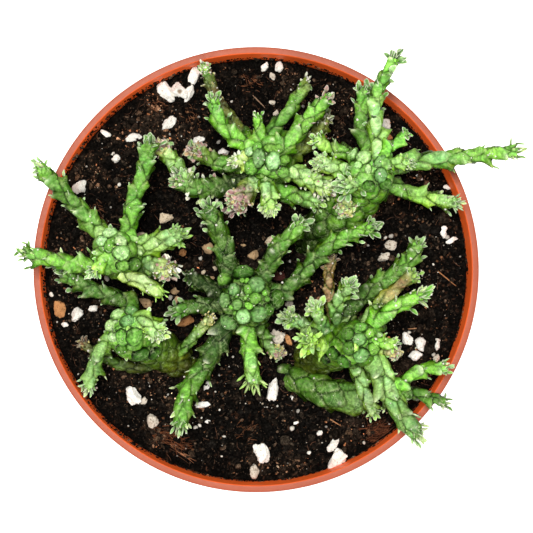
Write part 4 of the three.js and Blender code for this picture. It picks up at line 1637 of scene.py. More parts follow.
BUDS = {
    "bud_b": ArmPlan(
        3.2, 2.8, ((0.5, 34.7, 21), (0.2, 37.4, 21.5), (-0.2, 39.9, 21.5)),
        H.BARE, (T.BRIGHT, T.BRIGHT), T.BRIGHT, 1.6,
    ),
    "bud_b_pale": ArmPlan(
        3.6, 3.4, ((-2.4, 27.4, 20), (-4.4, 27.8, 21), (-6.6, 28, 21)),
        H.CLUSTERED, (T.MINT, T.YELLOW), T.CREAM, 1.5,
    ),
    "bud_b_tip": ArmPlan(
        2.8, 2.8, ((-13.6, 52.6, 9.5), (-14, 53.6, 10.5), (-14.3, 54.4, 11.4)),
        H.KNOBBLY, (T.BRIGHT, T.FRESH), T.FRESH, 1.2, on="arm_b2",
    ),
    "bud_c_back": ArmPlan(
        2.6, 2.2, ((34.5, 31, 27), (36.4, 32.9, 27.5), (38.2, 34.8, 28)),
        H.BARE, (T.BRIGHT, T.BRIGHT), T.BRIGHT, 1.6,
    ),
    "bud_c_right": ArmPlan(
        3, 2.6, ((34, 26.6, 29), (36.6, 26.6, 29.5), (39.2, 26.6, 29.5)),
        H.ROSETTE, (T.MID, T.MINT), T.FRESH, 1.6,
    ),
    "bud_d": ArmPlan(
        3, 2.8, ((-39.3, 2.6, 24), (-41, 0.4, 25), (-42.4, -1.6, 25)),
        H.ROSETTE, (T.BRIGHT, T.FRESH), T.BRIGHT, 2.4,
    ),
    "bud_d_dry": ArmPlan(
        4.2, 6, ((-31.5, 0.6, 13), (-27, 0.6, 15), (-22.3, -1.2, 16)),
        H.WITHERED, (T.MID, T.MINT, T.STRAW), T.CREAM, 1.8,
    ),
    "bud_f_low": ArmPlan(
        3, 2.6, ((33.5, -21.6, 19), (35.2, -22.2, 19.4), (37, -22.7, 19.6)),
        H.WITHERED, (T.MID, T.TAN), T.STRAW, 1.4,
    ),
    "bud_f_high": ArmPlan(
        3, 2.6, ((32.2, -19.8, 23), (34, -19.8, 23.5), (35.9, -19.8, 23.6)),
        H.ROSETTE, (T.BRIGHT, T.FRESH), T.FRESH, 1.6,
    ),
}
CUSHIONS = {
    "stem_a": (
        (257.4, 285, 8.7, 8.7, 0, T.BLUE), (234.5, 288.3, 6.6, 6.2, 0, T.BLUE),
        (246.2, 290, 4.6, 5.8, 90, T.MID), (225.3, 299.2, 6.4, 7.8, 90, T.BLUE),
        (236.6, 303.3, 5.3, 5.9, 60, T.BLUE), (247.3, 304.4, 3.8, 4.8, -30, T.BRIGHT),
        (256.4, 298.8, 5.8, 7, 10, T.MID), (243.3, 313.3, 7.4, 8, 90, T.MINT),
        (259.9, 313.3, 8.2, 8.8, 60, T.BLUE), (228.7, 320.3, 8.2, 9.6, -35, T.BLUE),
        (275.8, 297.5, 8, 9.6, 90, T.FOREST), (244.5, 273, 7, 10.5, 0, T.FOREST),
        (224.2, 281.2, 7.4, 8, 0, T.MID), (231, 308.6, 2.7, 2.7, 0, T.BRIGHT),
        (233.9, 312.8, 2.6, 3, 0, T.MID), (240.8, 280.6, 3, 3, 0, T.MID),
        (246.4, 280.2, 3.3, 3.3, 0, T.BRIGHT), (265, 294, 3.3, 3.3, 0, T.BRIGHT),
        (268.4, 299.4, 3.2, 3.2, 0, T.MID), (253.9, 307, 2, 2, 0, T.MID),
        (238.6, 296.2, 2.6, 2.6, 0, T.MID), (243.6, 297.6, 2.3, 2.3, 0, T.MID),
        (248.4, 297.4, 2.4, 2.4, 0, T.MID), (268.5, 308.5, 6.4, 6.4, 0, T.FOREST),
    ),
    "stem_b": (
        (260.8, 158.3, 6.6, 9.4, 85, T.BLUE), (273.3, 161, 7.4, 9.4, 80, T.MINT),
        (285.5, 158.6, 4.4, 6, 0, T.MID), (269.2, 147.5, 5.2, 6.6, 0, T.MID),
        (257.8, 146.2, 5, 5.6, 40, T.MID), (248.5, 152.5, 5, 5.4, 0, T.MINT),
        (250, 166.5, 7, 8.4, 60, T.MID), (241, 154, 3.6, 4, 0, T.MINT), (243.8, 160.3, 3, 3.2, 0, T.MINT),
        (284, 171.5, 6, 7.6, -30, T.MID), (279, 150, 4.6, 6, 60, T.MID),
    ),
    "stem_c": (
        (365.3, 156.5, 7, 7.8, 0, T.MINT), (379, 160.5, 5.2, 8.8, 50, T.BLUE),
        (388.2, 154.5, 4.6, 7, 40, T.MID), (394, 153, 4.6, 4.8, 0, T.BLUE),
        (382, 175.5, 6.6, 7.6, 85, T.BLUE), (385.5, 185, 5.8, 6.6, 0, T.FOREST),
        (354.5, 153, 3.4, 6.6, 85, T.MINT), (358.5, 163.5, 4, 4.6, 30, T.MINT),
        (370.5, 187, 6, 6.6, 0, T.FOREST), (369, 168, 3.6, 5.4, 85, T.MINT),
    ),
    "stem_d": (
        (120.3, 254.5, 7.4, 8.4, 0, T.MINT), (124.4, 265, 5.6, 7, 0, T.MID),
        (120.3, 239.8, 5.6, 7.2, -20, T.MINT), (107.8, 246.7, 5.2, 7.4, 85, T.MID),
        (113, 240, 3.4, 4.4, 80, T.MID), (114.9, 246.8, 2.2, 2.6, 0, T.FRESH),
        (135.5, 264.5, 6.8, 7.2, 0, T.FOREST), (109.5, 232, 5.8, 8, 20, T.MINT),
        (101, 242.5, 5.6, 6.2, 0, T.MINT),
    ),
    "stem_e": (
        (131.7, 310, 5.4, 6.6, 10, T.BLUE), (126.7, 319.8, 6.2, 7.6, 20, T.BLUE),
        (120.8, 337.5, 6.4, 8.8, -70, T.MID), (135.2, 335.6, 8.2, 9.4, 85, T.MID),
        (127.6, 328.4, 2.4, 3, 80, T.FRESH), (118.4, 328, 3.6, 4.6, 0, T.MID),
        (116.5, 314.5, 5.8, 7.4, 30, T.MINT), (109.5, 325, 5.8, 6.6, 60, T.MINT),
        (112.5, 335.5, 5, 6, 0, T.MINT), (146.5, 327, 6.6, 7.2, 0, T.FRESH),
        (139.5, 355, 6.8, 8.8, 0, T.FOREST), (154, 354, 6.6, 7.2, 0, T.FOREST),
        (120.5, 350, 5.4, 6.6, 20, T.FOREST),
    ),
    "stem_f": (
        (360, 337.9, 6.3, 7, 0, T.BLUE), (371.2, 332.5, 4.7, 5.1, 90, T.BRIGHT),
        (380.4, 335.4, 4.4, 5.3, -20, T.MINT), (366.2, 343.3, 3.8, 4.8, 60, T.MID),
        (375.2, 340.8, 2.8, 3.8, 0, T.BRIGHT), (374.6, 349.2, 6, 6.4, 90, T.MID),
        (355.8, 348.3, 4.6, 4.8, 0, T.FRESH), (348.5, 347.5, 6.4, 7.2, 90, T.FOREST),
        (361.7, 356.4, 7.2, 8.4, 60, T.BLUE), (348.3, 333.3, 6.6, 6.9, 0, T.FOREST),
        (361.7, 326.5, 5, 6.6, 0, T.MID), (333.3, 353.3, 6.6, 7, 0, T.FOREST),
        (343.3, 361.7, 6.6, 7.4, 0, T.FOREST), (325, 358.3, 6, 6.4, 0, T.FOREST),
    ),
}


class Plant:
    """The stems and the arms on them."""

    def __init__(self, view: "View") -> None:
        """Makes the materials and an empty record of spines."""
        self.view = view
        self.finish = LimbFinish()
        self.spines: dict[str, Spine] = {}
        self.pieces: list[bpy.types.Object] = []

    def stem(self, name: str, plan: StemPlan, seed: int) -> Piece:
        """Makes one stem with the young tufts of its crown.

        Args:
            name: its name.
            plan: its measures and colours.
            seed: picks its random numbers.

        Returns:
            The piece.
        """
        spine = Spine.through(placed(plan.route))
        self.spines[name] = spine

        def radius_at(share: Array) -> Array:
            """The stem's radius, which swells from the foot to the crown."""
            return plan.foot + (plan.crown - plan.foot) * smooth(0.35, 0.8, share)

        limb = Limb(spine, radius_at, 0.75 * plan.crown, plan.pads, plan.tones, seed, 0.28, plan.light)
        piece = Piece(name)
        skin = limb.skin()
        piece.add(skin, LimbFinish.SKIN)
        limb.scars(piece, 0.35, (0.12, 0.2))
        cushions = [Cushion(*row) for row in CUSHIONS.get(name, ())]
        self.cushions(piece, skin.points, plan, cushions, limb.rng)
        if plan.leafy:
            limb.leaves(piece, CROWN, LimbFinish.LEAF)
        return piece

    def cushions(
        self,
        piece: Piece,
        skin: Array,
        plan: StemPlan,
        cushions: Sequence[Cushion],
        rng: np.random.Generator,
    ) -> None:
        """Seats the large tubercles of a crown on its skin, where the photograph shows them.

        Args:
            piece: the stem's piece, which takes them.
            skin: the places of the stem's skin.
            plan: the stem.
            cushions: its cushions.
            rng: the stem's own random numbers.
        """
        heart = placed(plan.route)[-1] - np.array([0, 0, 1.3 * plan.crown])
        for k, cushion in enumerate(cushions):
            ray = self.view.ray(cushion.x, cushion.y)
            reach = (skin - self.view.eye) @ ray
            miss = np.linalg.norm(skin - self.view.eye - reach[:, None] * ray, axis=1)
            seat = skin[np.argmin(reach + 6 * np.maximum(miss - 0.5, 0))]
            out = unit(seat - heart + UPWARD)
            angle = math.radians(cushion.turn)
            along = self.view.right * math.cos(angle) + self.view.up * math.sin(angle)
            along = unit(along - out * (along @ out))
            half = 1.1 * np.array([cushion.wide, cushion.long]) * reach.min() / self.view.focal
            tall = plan.stand * half.mean()
            turn = np.stack([np.cross(along, out) * half[0], along * half[1], out * tall], axis=-1)
            centre = seat + out * 0.12 * tall
            tint = np.array(cushion.tone.value) * rng.uniform((0.9, 0.93, 0.85), (1.06, 1.04, 1.06))
            # Painted light and shade by height.
            tint = tint * max(daylight(centre[None])[0], plan.light)
            piece.add_copies(cushion_form(k % 5), turn[None], centre[None], tint[None], LimbFinish.SKIN)
            if rng.random() < 0.6:
                size = np.eye(3) * rng.uniform(0.12, 0.24)
                apex = centre + out * tall
                piece.add_copies(ball(1), size[None], apex[None], LIGHT_SCAR, LimbFinish.DRIED)

    def arm(self, name: str, plan: ArmPlan, seed: int) -> Piece:
        """Makes one arm with its leaves.

        Args:
            name: its name.
            plan: its measures, habit and colours.
            seed: picks its random numbers.

        Returns:
            The piece.
        """
        points = placed(plan.route)
        parent = self.spines[plan.on or "stem_" + name.split("_")[1][0]].place
        near = parent[np.argmin(np.linalg.norm(parent - points[0], axis=1))]
        root = points[0] + (near - points[0]) * ROOT_SHARE
        spine = Spine.through(np.vstack([root, points]))
        self.spines[name] = spine

        def radius_at(share: Array) -> Array:
            """The arm's radius, which thins evenly to the tip."""
            return SLIMMER * (plan.base + (plan.tip - plan.base) * share) / 2

        limb = Limb(spine, radius_at, plan.tip * 0.55, PADS[plan.habit], plan.tones, seed)
        piece = Piece(name)
        piece.add(limb.skin(), LimbFinish.SKIN)
        limb.scars(piece, 0.35, (0.11, 0.2))
        basic = FOLIAGE[plan.habit]
        tones = basic.tones if plan.leaf is None else (plan.leaf, plan.leaf, *basic.tones[1:])
        foliage = replace(basic, tones=tones, length=plan.length or basic.length)
        dried = plan.habit in (Habit.WITHERED, Habit.DRY)
        limb.leaves(piece, foliage, LimbFinish.DRIED if dried else LimbFinish.LEAF)
        return piece

    def build(self) -> None:
        """Builds every limb as a piece of its own, standing for its CAD node where it has one."""
        makers = [(self.stem, STEMS), (self.arm, ARMS), (self.arm, BUDS)]
        seed = 1
        for make, plans in makers:
            for name, plan in plans.items():
                made = make(name, plan, seed).build(self.finish.materials)
                made.name = name if plans is BUDS else name + "_grown"
                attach(made, BODY)
                if plans is not BUDS:
                    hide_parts(name)
                self.pieces.append(made)
                log.info("%s: %d faces", made.name, len(made.data.polygons))
                seed += 1


# ---------------------------------------------------------------- the mix


def mix_height(x: Array, y: Array) -> Array:
    """The height of the mix's surface above the floor.

    Args:
        x: the places' x.
        y: the places' y.

    Returns:
        One height for each place.
    """
    place = np.stack([x, y, np.zeros_like(x)], -1)
    share = np.hypot(x, y) / MIX_REACH
    fade = np.clip(1 - share**4, 0, 1)
    wave = np.sin(x / 7.7) * np.cos(y / 7.7) + np.sin((x + y) / 4.7) / 2
    lumps = 0.8 * rough(place, 5.5, 3, 41) + 0.5 * rough(place, 1.6, 3, 43)
    bank = 1.6 * smooth(0.88, 1, share) * rough(place, 6.5, 3, 47)
    return MIX_LEVEL + 0.7 * wave * fade + lumps + bank


@dataclass(frozen=True)
class Grain:
    """A grain of perlite or a pebble, by its place in the photograph and its sides in its pixels."""

    x: float
    y: float
    long: float
    wide: float
    turn: float = 0  # degrees from across to up
    kind: str = "white"


GRAINS = tuple(
    Grain(*row)
    for row in (
        (166, 92, 24, 14, -58), (178.5, 90, 21, 15, -70, "holed"), (189, 92, 21, 9, 62),
        (194, 75, 18, 11, 85), (168.5, 123, 17, 11, 48), (133, 137.5, 18, 9, 12), (105.5, 134, 12, 6, -30),
        (116, 158, 9, 8, 30), (199.5, 139, 13, 10, 10), (224, 152, 12, 9, 30), (79, 188, 18, 12, 24),
        (77, 314, 17, 11, 55), (94, 308, 12, 7, 10), (65, 325, 8, 6, 0), (265, 66, 12, 7, 60),
        (272, 76, 9, 6, 100, "soiled"), (278.5, 67, 11, 9, 80), (272, 102, 7, 5, 0, "soiled"),
        (276, 113, 7, 5, 60, "soiled"), (386, 123, 13, 9, 100), (443, 231, 14, 9, 95),
        (452, 240, 13, 5, 25), (390, 245, 14, 12, 20, "soiled"), (384, 257, 13, 10, 40, "soiled"),
        (407, 340, 16, 12, 110), (420, 345, 15, 13, 60), (416, 356, 15, 11, 0), (437, 345, 11, 6, 80),
        (436, 358, 9, 6, 60, "soiled"), (272, 390, 24, 12, 85), (262, 455, 24, 15, 110),
        (254.5, 472, 14, 10, 75, "soiled"), (338, 459, 26, 15, 50), (333, 444, 18, 9, 65),
        (320, 433, 7, 5, 50), (133, 395, 20, 14, 110), (143, 402, 10, 7, 60, "soiled"),
        (152, 423, 18, 13, 110, "soiled"), (203, 405, 15, 7, 8), (207, 386, 12, 6, 60), (208, 422, 6, 5, 0),
        (271, 240, 12, 8, 10, "cream"), (419, 177, 12, 4, -30), (447, 187, 8, 5, 0), (294, 399, 7, 4, -40),
        (296, 423, 6, 3, 10), (309, 453, 5, 4, 0), (361, 100, 9, 5, 70), (58, 307, 21, 13, 105, "orange"),
        (207, 248, 13, 12, 0, "tan"), (253, 255, 13, 10, 50, "tan"), (164, 219, 17, 13, 30, "cream"),
        (142, 235, 10, 6, 0, "cream"), (151, 268, 14, 10, 20, "tan"), (145, 303, 14, 10, -30, "tan"),
        (175, 291, 9, 7, 0, "tan"), (388, 137, 9, 8, 0, "orange"), (183, 252, 10, 7, 60, "orange"),
        (185, 322, 18, 9, 25, "orange"), (289, 341, 15, 7, -50, "orange"), (280, 277, 13, 11, 30, "bark"),
        (214, 268, 7, 5, 0, "cream"), (204, 272, 6, 4, 40, "cream"), (211, 278, 8, 5, 10, "tan"),
        (243, 245, 6, 4, 0, "tan"), (218, 236, 6, 4, 50, "cream"), (205, 313, 8, 6, 20, "tan"),
        (176, 300, 9, 6, 70, "tan"), (290, 304, 10, 8, 20, "soiled"),
    )
)
GRAIN_TINTS = {
    "white": (0.88, 0.86, 0.8),
    "holed": (0.88, 0.86, 0.8),
    "soiled": (0.62, 0.56, 0.47),
    "cream": (0.60, 0.50, 0.36),
    "tan": (0.46, 0.31, 0.17),
    "orange": (0.48, 0.23, 0.09),
    "bark": (0.07, 0.022, 0.018),
}


class View:
    """The camera: where the photograph was taken from, and what it sees."""

    side = 533  # the photograph's width and height in pixels
    focal = 1673.0  # in pixels
    eye = np.array([-7.6, -11.5, 546.0])
    target = np.array([2.61, 0.62, 96.0])

    def __init__(self) -> None:
        """Works out the camera's own axes, with the photograph's top towards +Y."""
        self.back = unit(self.eye - self.target)
        self.right = unit(np.cross((0.0, 1.0, 0.0), self.back))
        self.up = np.cross(self.back, self.right)

    def ray(self, x: float, y: float) -> Array:
        """The direction from the eye to what the photograph shows at a pixel.

        Args:
            x: the pixel's column.
            y: the pixel's row.

        Returns:
            A direction of length 1.
        """
        middle = self.side / 2
        across = self.right * (x - middle) / self.focal
        return unit(across - self.up * (y - middle) / self.focal - self.back)

    def on_level(self, x: float, y: float, height: float) -> Array:
        """The place at a height above the floor that the photograph shows at a pixel."""
        ray = self.ray(x, y)
        return self.eye + ray * (self.eye[2] - height) / -ray[2]

    def build(self) -> None:
        """Makes the camera."""
        data = bpy.data.cameras.new("photo_camera")
        data.sensor_width = 36
        data.lens = 36 * self.focal / self.side
        data.clip_start, data.clip_end = 0.01, 20
        made = bpy.data.objects.new("photo_camera", data)
        columns = np.stack([self.right, self.up, self.back], axis=-1)
        made.matrix_world = Matrix.Translation(Vector(self.eye * MM)) @ Matrix(columns.tolist()).to_4x4()
        bpy.context.scene.collection.objects.link(made)
        bpy.context.scene.camera = made


TANGLES = (  # from and to, in the photograph's pixels, the number of strands, their spread and colour
    (150, 432, 192, 448, 60, 1.0, (0.11, 0.036, 0.014)),
    (168, 446, 194, 461, 12, 0.5, (0.2, 0.09, 0.045)),
    (362, 438, 392, 424, 110, 1.4, (0.085, 0.028, 0.012)),
    (238, 436, 254, 426, 50, 1.3, (0.1, 0.04, 0.018)),
    (148, 102, 164, 108, 40, 1.2, (0.14, 0.055, 0.024)),
    (188, 112, 200, 124, 40, 1.3, (0.13, 0.055, 0.024)),
    (92, 205, 104, 218, 40, 1.0, (0.12, 0.05, 0.024)),
    (244, 78, 262, 84, 40, 1.2, (0.14, 0.055, 0.024)),
    (328, 418, 341, 426, 1, 0, (0.5, 0.24, 0.11)),
    (253, 95, 265, 108, 1, 0, (0.34, 0.22, 0.14)),
    (438, 271, 456, 286, 1, 0, (0.42, 0.19, 0.08)),
    (408, 329, 420, 328, 1, 0, (0.4, 0.2, 0.1)),
)


CRUMBS = (  # name, number, least and greatest size, fineness, odds of the tints, least side over greatest
    ("mix_dust", 9000, (0.15, 0.5), 1, (0.3, 0.3, 0.26, 0.12, 0.02), 0.25),
    ("mix_fines", 8400, (0.35, 0.9), 1, (0.5, 0.27, 0.16, 0.06, 0.01), 0.45),
    ("mix_crumbs", 2100, (0.8, 2.0), 2, (0.7, 0.23, 0.07, 0, 0), 0.45),
    ("mix_lumps", 240, (1.8, 3.4), 3, (0.9, 0.1, 0, 0, 0), 0.45),
)


def strewn(rng: np.random.Generator, count: int, reach: float) -> tuple[Array, Array]:
    """The x and y of places strewn evenly over a round area of that radius."""
    radius, angle = reach * np.sqrt(rng.random(count)), rng.uniform(0, 2 * math.pi, count)
    return radius * np.cos(angle), radius * np.sin(angle)


class PottingMix:
    """The peat mix with its crumbs, fibres, perlite, pebbles and bark."""

    edge = 57.6
    wall = ((57.3, 81.0), (55.8, 78.4), (40.4, 3.7))  # the block's outline below its surface
    grid = 290

    def __init__(self, view: View) -> None:
        """Takes the view, by which the large grains are placed."""
        self.view = view
        self.rng = np.random.default_rng(17)
        self.peat = peat_finish()
        self.perlite = perlite_finish()
        self.dry = dry_finish()

    def surface(self) -> Form:
        """Makes the block of mix, with its surface in lumps and hollows.

        Returns:
            The closed block.
        """
        n = self.grid
        a, b = np.meshgrid(np.linspace(-1, 1, n + 1), np.linspace(-1, 1, n + 1), indexing="ij")
        wide = np.abs(a) > np.abs(b)
        radius = np.where(wide, a, b)
        safe = np.where(np.abs(radius) < 1e-9, 1, radius)
        angle = np.where(wide, math.pi / 4 * b / safe, math.pi / 2 - math.pi / 4 * a / safe)
        x, y = radius * np.cos(angle) * self.edge, radius * np.sin(angle) * self.edge
        top = np.stack([x, y, mix_height(x, y)], -1).reshape(-1, 3)
        index = np.arange((n + 1) ** 2).reshape(n + 1, n + 1)
        corners = [index[:-1, :-1], index[1:, :-1], index[1:, 1:], index[:-1, 1:]]
        quads = np.stack(corners, -1).reshape(-1, 4)
        border = np.concatenate([index[:-1, 0], index[-1, :-1], index[:0:-1, -1], index[0, :0:-1]])
        points, faces, ring = [top], [quads], border
        outward = unit(top[border] * np.array([1, 1, 0]))
        count = len(top)
        for radius, height in self.wall:
            below = outward * radius + np.array([0, 0, height])
            lower = count + np.arange(len(border))
            faces.append(np.stack([ring, lower, np.roll(lower, -1), np.roll(ring, -1)], -1))
            points.append(below)
            ring, count = lower, count + len(border)
        points.append(np.array([[0, 0, self.wall[-1][1]]]))
        fan = np.stack([np.full(len(ring), count), np.roll(ring, -1), ring], -1)
        place = np.concatenate(points)
        tint = self.peat_tint(place)
        return Form(place, np.concatenate(faces), fan, tint)

    def peat_tint(self, place: Array) -> Array:
        """The dark colour of the mix, browner in patches.

        Args:
            place: (n, 3) places.

        Returns:
            One colour for each place.
        """
        brown = smooth(0.0, 0.55, rough(place, 9, 4, 61) * 0.5 + rough(place, 1.3, 3, 67) * 0.6)
        fleck = smooth(0.42, 0.62, rough(place, 0.9, 2, 71))
        tint = blended(np.array([0.0036, 0.0031, 0.0026]), np.array([0.026, 0.018, 0.0125]), brown)
        return blended(tint, np.array([0.09, 0.04, 0.022]), 0.4 * fleck)

    def crumb_tints(self, count: int, odds: Sequence[float]) -> Array:
        """Colours for that many crumbs, with the odds of black, dark, brown, rusty and pale ones."""
        kinds = self.rng.choice(len(CRUMB_TINTS), count, p=odds)
        return CRUMB_TINTS[kinds] * self.rng.uniform(0.5, 1.6, (count, 1))

    def crumbs(
        self, name: str, count: int, sizes: Range, level: int, odds: Sequence[float], flat: float
    ) -> Piece:
        """Loose crumbs strewn over the mix.

        Args:
            name: the piece's name.
            count: how many there are.
            sizes: the least and the greatest crumb, across.
            level: how finely each one is made.
            odds: the odds of each of their colours.
            flat: the least of a crumb's sides over its greatest.

        Returns:
            The piece.
        """
        piece = Piece(name)
        rng = self.rng
        for k in range(6):
            form = stone(level, 100 + k, 6, 0.35)
            form.points = form.points * rng.uniform(flat, 1.3, 3)
            share = count // 6
            size = sizes[0] * (sizes[1] / sizes[0]) ** (rng.random(share) ** 1.6) / 2
            x, y = strewn(rng, share, self.edge - 0.6 - sizes[1])
            offsets = np.stack([x, y, mix_height(x, y) + size * rng.uniform(0, 0.5, share)], -1)
            turns = turned_at_random(rng, share) * size[:, None, None]
            patch = smooth(0.05, 0.4, rough(offsets, 9, 4, 61))[:, None]
            browner = 0.9 + 2.2 * patch * np.array([1.2, 0.9, 0.7])
            piece.add_copies(form, turns, offsets, self.crumb_tints(share, odds) * browner)
        return piece

    def wall_crumbs(self) -> Piece:
        """Makes the crumbs that stick to the pot's inner wall, up to an uneven line above the mix.

        Returns:
            The piece.
        """
        piece = Piece("mix_on_wall")
        rng, count = self.rng, 3600
        angle = rng.uniform(0, 2 * math.pi, count)
        around = np.stack([np.cos(angle), np.sin(angle), np.zeros(count)], -1) * 58
        reach = 1.5 + 2.0 * rough(around, 9, 3, 83) + 2.2 * smooth(-5, -45, around[:, 0])
        height = MIX_LEVEL - 0.8 + np.maximum(reach, 0.5) * rng.random(count) ** 1.7 * 1.6
        size = rng.uniform(0.12, 0.42, count) * np.where(rng.random(count) < 0.08, 1.8, 1.0)
        upright = np.stack([0 * height, 0 * height, height], -1)
        offsets = around * (58.02 - 0.35 * size)[:, None] / 58 + upright
        turns = turned_at_random(rng, count) * size[:, None, None]
        tints = self.crumb_tints(count, (0.5, 0.3, 0.15, 0.05, 0))
        piece.add_copies(stone(1, 171, 6, 0.3), turns, offsets, tints)
        return piece

    def strand(
        self, start: Array, heading: float, length: float, thick: float, curl: float, arch: float
    ) -> Array:
        """The loops of one fibre lying on the mix.

        Args:
            start: where it starts, in x and y.
            heading: the angle that it starts in.
            length: its length.
            thick: its thickness.
            curl: how far it turns on its way, in radians.
            arch: how high it rises off the mix.

        Returns:
            (rows, sides, 3) points.
        """
        rows, sides = 7, 4
        share = np.linspace(0, 1, rows)
        angle = heading + curl * share
        step = length / (rows - 1)
        x = start[0] + np.concatenate([[0], np.cumsum(np.cos(angle[:-1]) * step)])
        y = start[1] + np.concatenate([[0], np.cumsum(np.sin(angle[:-1]) * step)])
        inside = np.minimum(1, (self.edge - 0.6) / np.maximum(np.hypot(x, y), 1e-6))
        x, y = x * inside, y * inside
        ground = mix_height(x, y)
        evened = np.convolve(np.pad(ground, 1, "edge"), np.ones(3) / 3, "valid")
        z = np.maximum(ground, evened) + 0.25 + arch * 4 * share * (1 - share)
        place = np.stack([x, y, z], -1)
        ahead = unit(np.gradient(place, axis=0))
        side = unit(np.cross(ahead, UPWARD))
        over = np.cross(side, ahead)
        turn = np.linspace(0, 2 * math.pi, sides, endpoint=False)
        taper = (thick / 2) * (1 - 0.5 * share**3)
        ring = side[:, None] * np.cos(turn)[None, :, None] - over[:, None] * np.sin(turn)[None, :, None]
        return place[:, None] + ring * -taper[:, None, None]

    def fibres(self) -> Piece:
        """Makes the coir that the photograph shows: bundles, brown tangles and a few pale straws.

        Returns:
            The piece.
        """
        piece = Piece("mix_fibres")
        rng = self.rng
        for x0, y0, x1, y1, count, spread, tint in TANGLES:
            low, high = self.view.on_level(x0, y0, 89)[:2], self.view.on_level(x1, y1, 89)[:2]
            gap = high - low
            heading, length = math.atan2(gap[1], gap[0]), float(np.hypot(*gap))
            for _ in range(count):
                tangled = 0.45 if count > 20 and tint[0] < 0.15 else 0.12 * spread
                long = length * rng.uniform(0.15, 0.8 - tangled) if count > 1 else length
                start = low + gap / length * (length - long) * rng.random() + rng.normal(0, spread, 2)
                shade = np.array(tint) * (rng.uniform(0.2, 2.4) if count > 1 else 1)
                thick = rng.uniform(0.1, 0.2) if count > 1 else 0.34
                turned = heading + rng.normal(0, tangled)
                curl, arch = rng.normal(0, 0.4 * spread), rng.uniform(0, 0.5)
                loops = self.strand(start, turned, long, thick, curl, arch)
                piece.add(tube(loops, np.broadcast_to(shade, loops.shape), pointed=False))
        return piece

    def hairs(self) -> Piece:
        """Makes fine root hairs and peat fibres, strewn over the mix.

        Returns:
            The piece.
        """
        piece = Piece("mix_hairs")
        rng = self.rng
        for _ in range(800):
            radius, angle = 56 * math.sqrt(rng.random()), rng.uniform(0, 2 * math.pi)
            tint = np.array([0.11, 0.052, 0.03]) * rng.uniform(0.15, 1.0) ** 1.5 * 1.5
            start = np.array([radius * math.cos(angle), radius * math.sin(angle)])
            heading, length, thick = rng.uniform(0, 6.3), rng.uniform(0.6, 3.2), rng.uniform(0.08, 0.16)
            loops = self.strand(start, heading, length, thick, rng.normal(0, 0.9), 0.3 * rng.random())
            piece.add(tube(loops, np.broadcast_to(tint, loops.shape), pointed=False))
        return piece

    def grains(self) -> Piece:
        """Makes the perlite, pebbles and bark chips that the photograph shows one by one.

        Returns:
            The piece.
        """
        piece = Piece("mix_grains")
        for k, grain in enumerate(GRAINS):
            mineral = grain.kind in ("white", "holed", "soiled")
            lumpy = 0.16 if mineral else {"cream": 0.26, "bark": 0.4}.get(grain.kind, 0.12)
            level = 5 if grain.long > 15 else 4
            form = chip(level, 200 + k, 4 if mineral else 1)
            sides = np.array([grain.long, grain.wide, min(grain.long, grain.wide) * 0.85])
            half = sides / 2 * (self.view.eye[2] - MIX_LEVEL) / self.view.focal
            hollow = np.zeros(len(form.points))
            if grain.kind == "holed":
                away = np.linalg.norm(form.points - np.array([0.25, 0.1, 0.75]), axis=1)
                hollow = smooth(0.42, 0.22, away)
            near, _ = cells_of(form.points, 0.34, 300 + k)
            pits = smooth(0.2, 0.06, near) * (lumpy > 0.15)
            bumps = rough(form.points, 0.34, 2, 500 + k)
            relief = 1 + 0.07 * bumps - 0.12 * pits - 0.25 * hollow
            form.points = form.points * relief[:, None] * half * 1.06
            turn = math.radians(grain.turn)
            cos, sin = math.cos(turn), math.sin(turn)
            turned = np.array([[cos, -sin, 0], [sin, cos, 0], [0, 0, 1]])
            x, y, _ = self.view.on_level(grain.x, grain.y, MIX_LEVEL + half[2])
            ground = float(mix_height(np.array([x]), np.array([y]))[0])
            tint = np.array(GRAIN_TINTS[grain.kind]) * self.rng.uniform(0.92, 1.06)
            stained = {"white": 0.25, "holed": 0.3, "soiled": 0.8}.get(grain.kind, 0.5)
            spots = smooth(0.25, 0.6, rough(form.points, 0.9, 3, 400 + k)) * stained
            specks = smooth(0.32, 0.46, rough(form.points, 0.24, 2, 600 + k)) * (0.35 + stained)
            pitted = np.maximum(spots, 0.9 * pits * (0.4 + stained))
            # The hole of a holed grain is darkened as painted shade inside it.
            spots = np.maximum(pitted, np.maximum(specks, 0.92 * hollow))
            form.tint = blended(tint, tint * np.array([0.3, 0.2, 0.12]), spots)
            seat = np.array([x, y, ground + half[2] * 2 * GRAIN_LIFT])
            piece.add(form.moved(turned, seat), 1 if grain.kind == "bark" else 0)
        return piece

    def specks(self) -> Piece:
        """Makes perlite dust and chips, strewn over the mix.

        Returns:
            The piece.
        """
        piece = Piece("mix_specks")
        rng = self.rng
        form = chip(2, 77, 2)
        count = 420
        size = 0.12 * (0.8 / 0.12) ** (rng.random(count) ** 2.2)
        x, y = strewn(rng, count, 56.5)
        offsets = np.stack([x, y, mix_height(x, y) + 0.25 + 0.4 * size], -1)
        turns = turned_at_random(rng, count) * size[:, None, None] * rng.uniform(0.6, 1.1, (count, 1, 3))
        tints = np.array([0.72, 0.68, 0.6]) * rng.uniform(0.35, 1.1, (count, 1))
        piece.add_copies(form, turns, offsets, tints)
        return piece

    def largest(self) -> Piece:
        """Makes the largest grain of perlite, in the place and size of its CAD solid.

        Returns:
            The piece.
        """
        piece = Piece("perlite_large_rough")
        low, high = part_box("perlite_large")
        form = chip(5, 501, 4)
        near, _ = cells_of(form.points, 0.5, 503)
        half = np.array(high - low) / MM / 2
        form.points = form.points * (1 - 0.1 * smooth(0.34, 0.16, near))[:, None] * half * 1.08
        stain = smooth(0.1, 0.5, rough(form.points, 1.6, 3, 507))
        form.tint = np.array([0.8, 0.72, 0.6]) * (1 - 0.35 * stain)[:, None]
        piece.add(form.moved(np.eye(3), np.array(low + high) / MM / 2))
        return piece

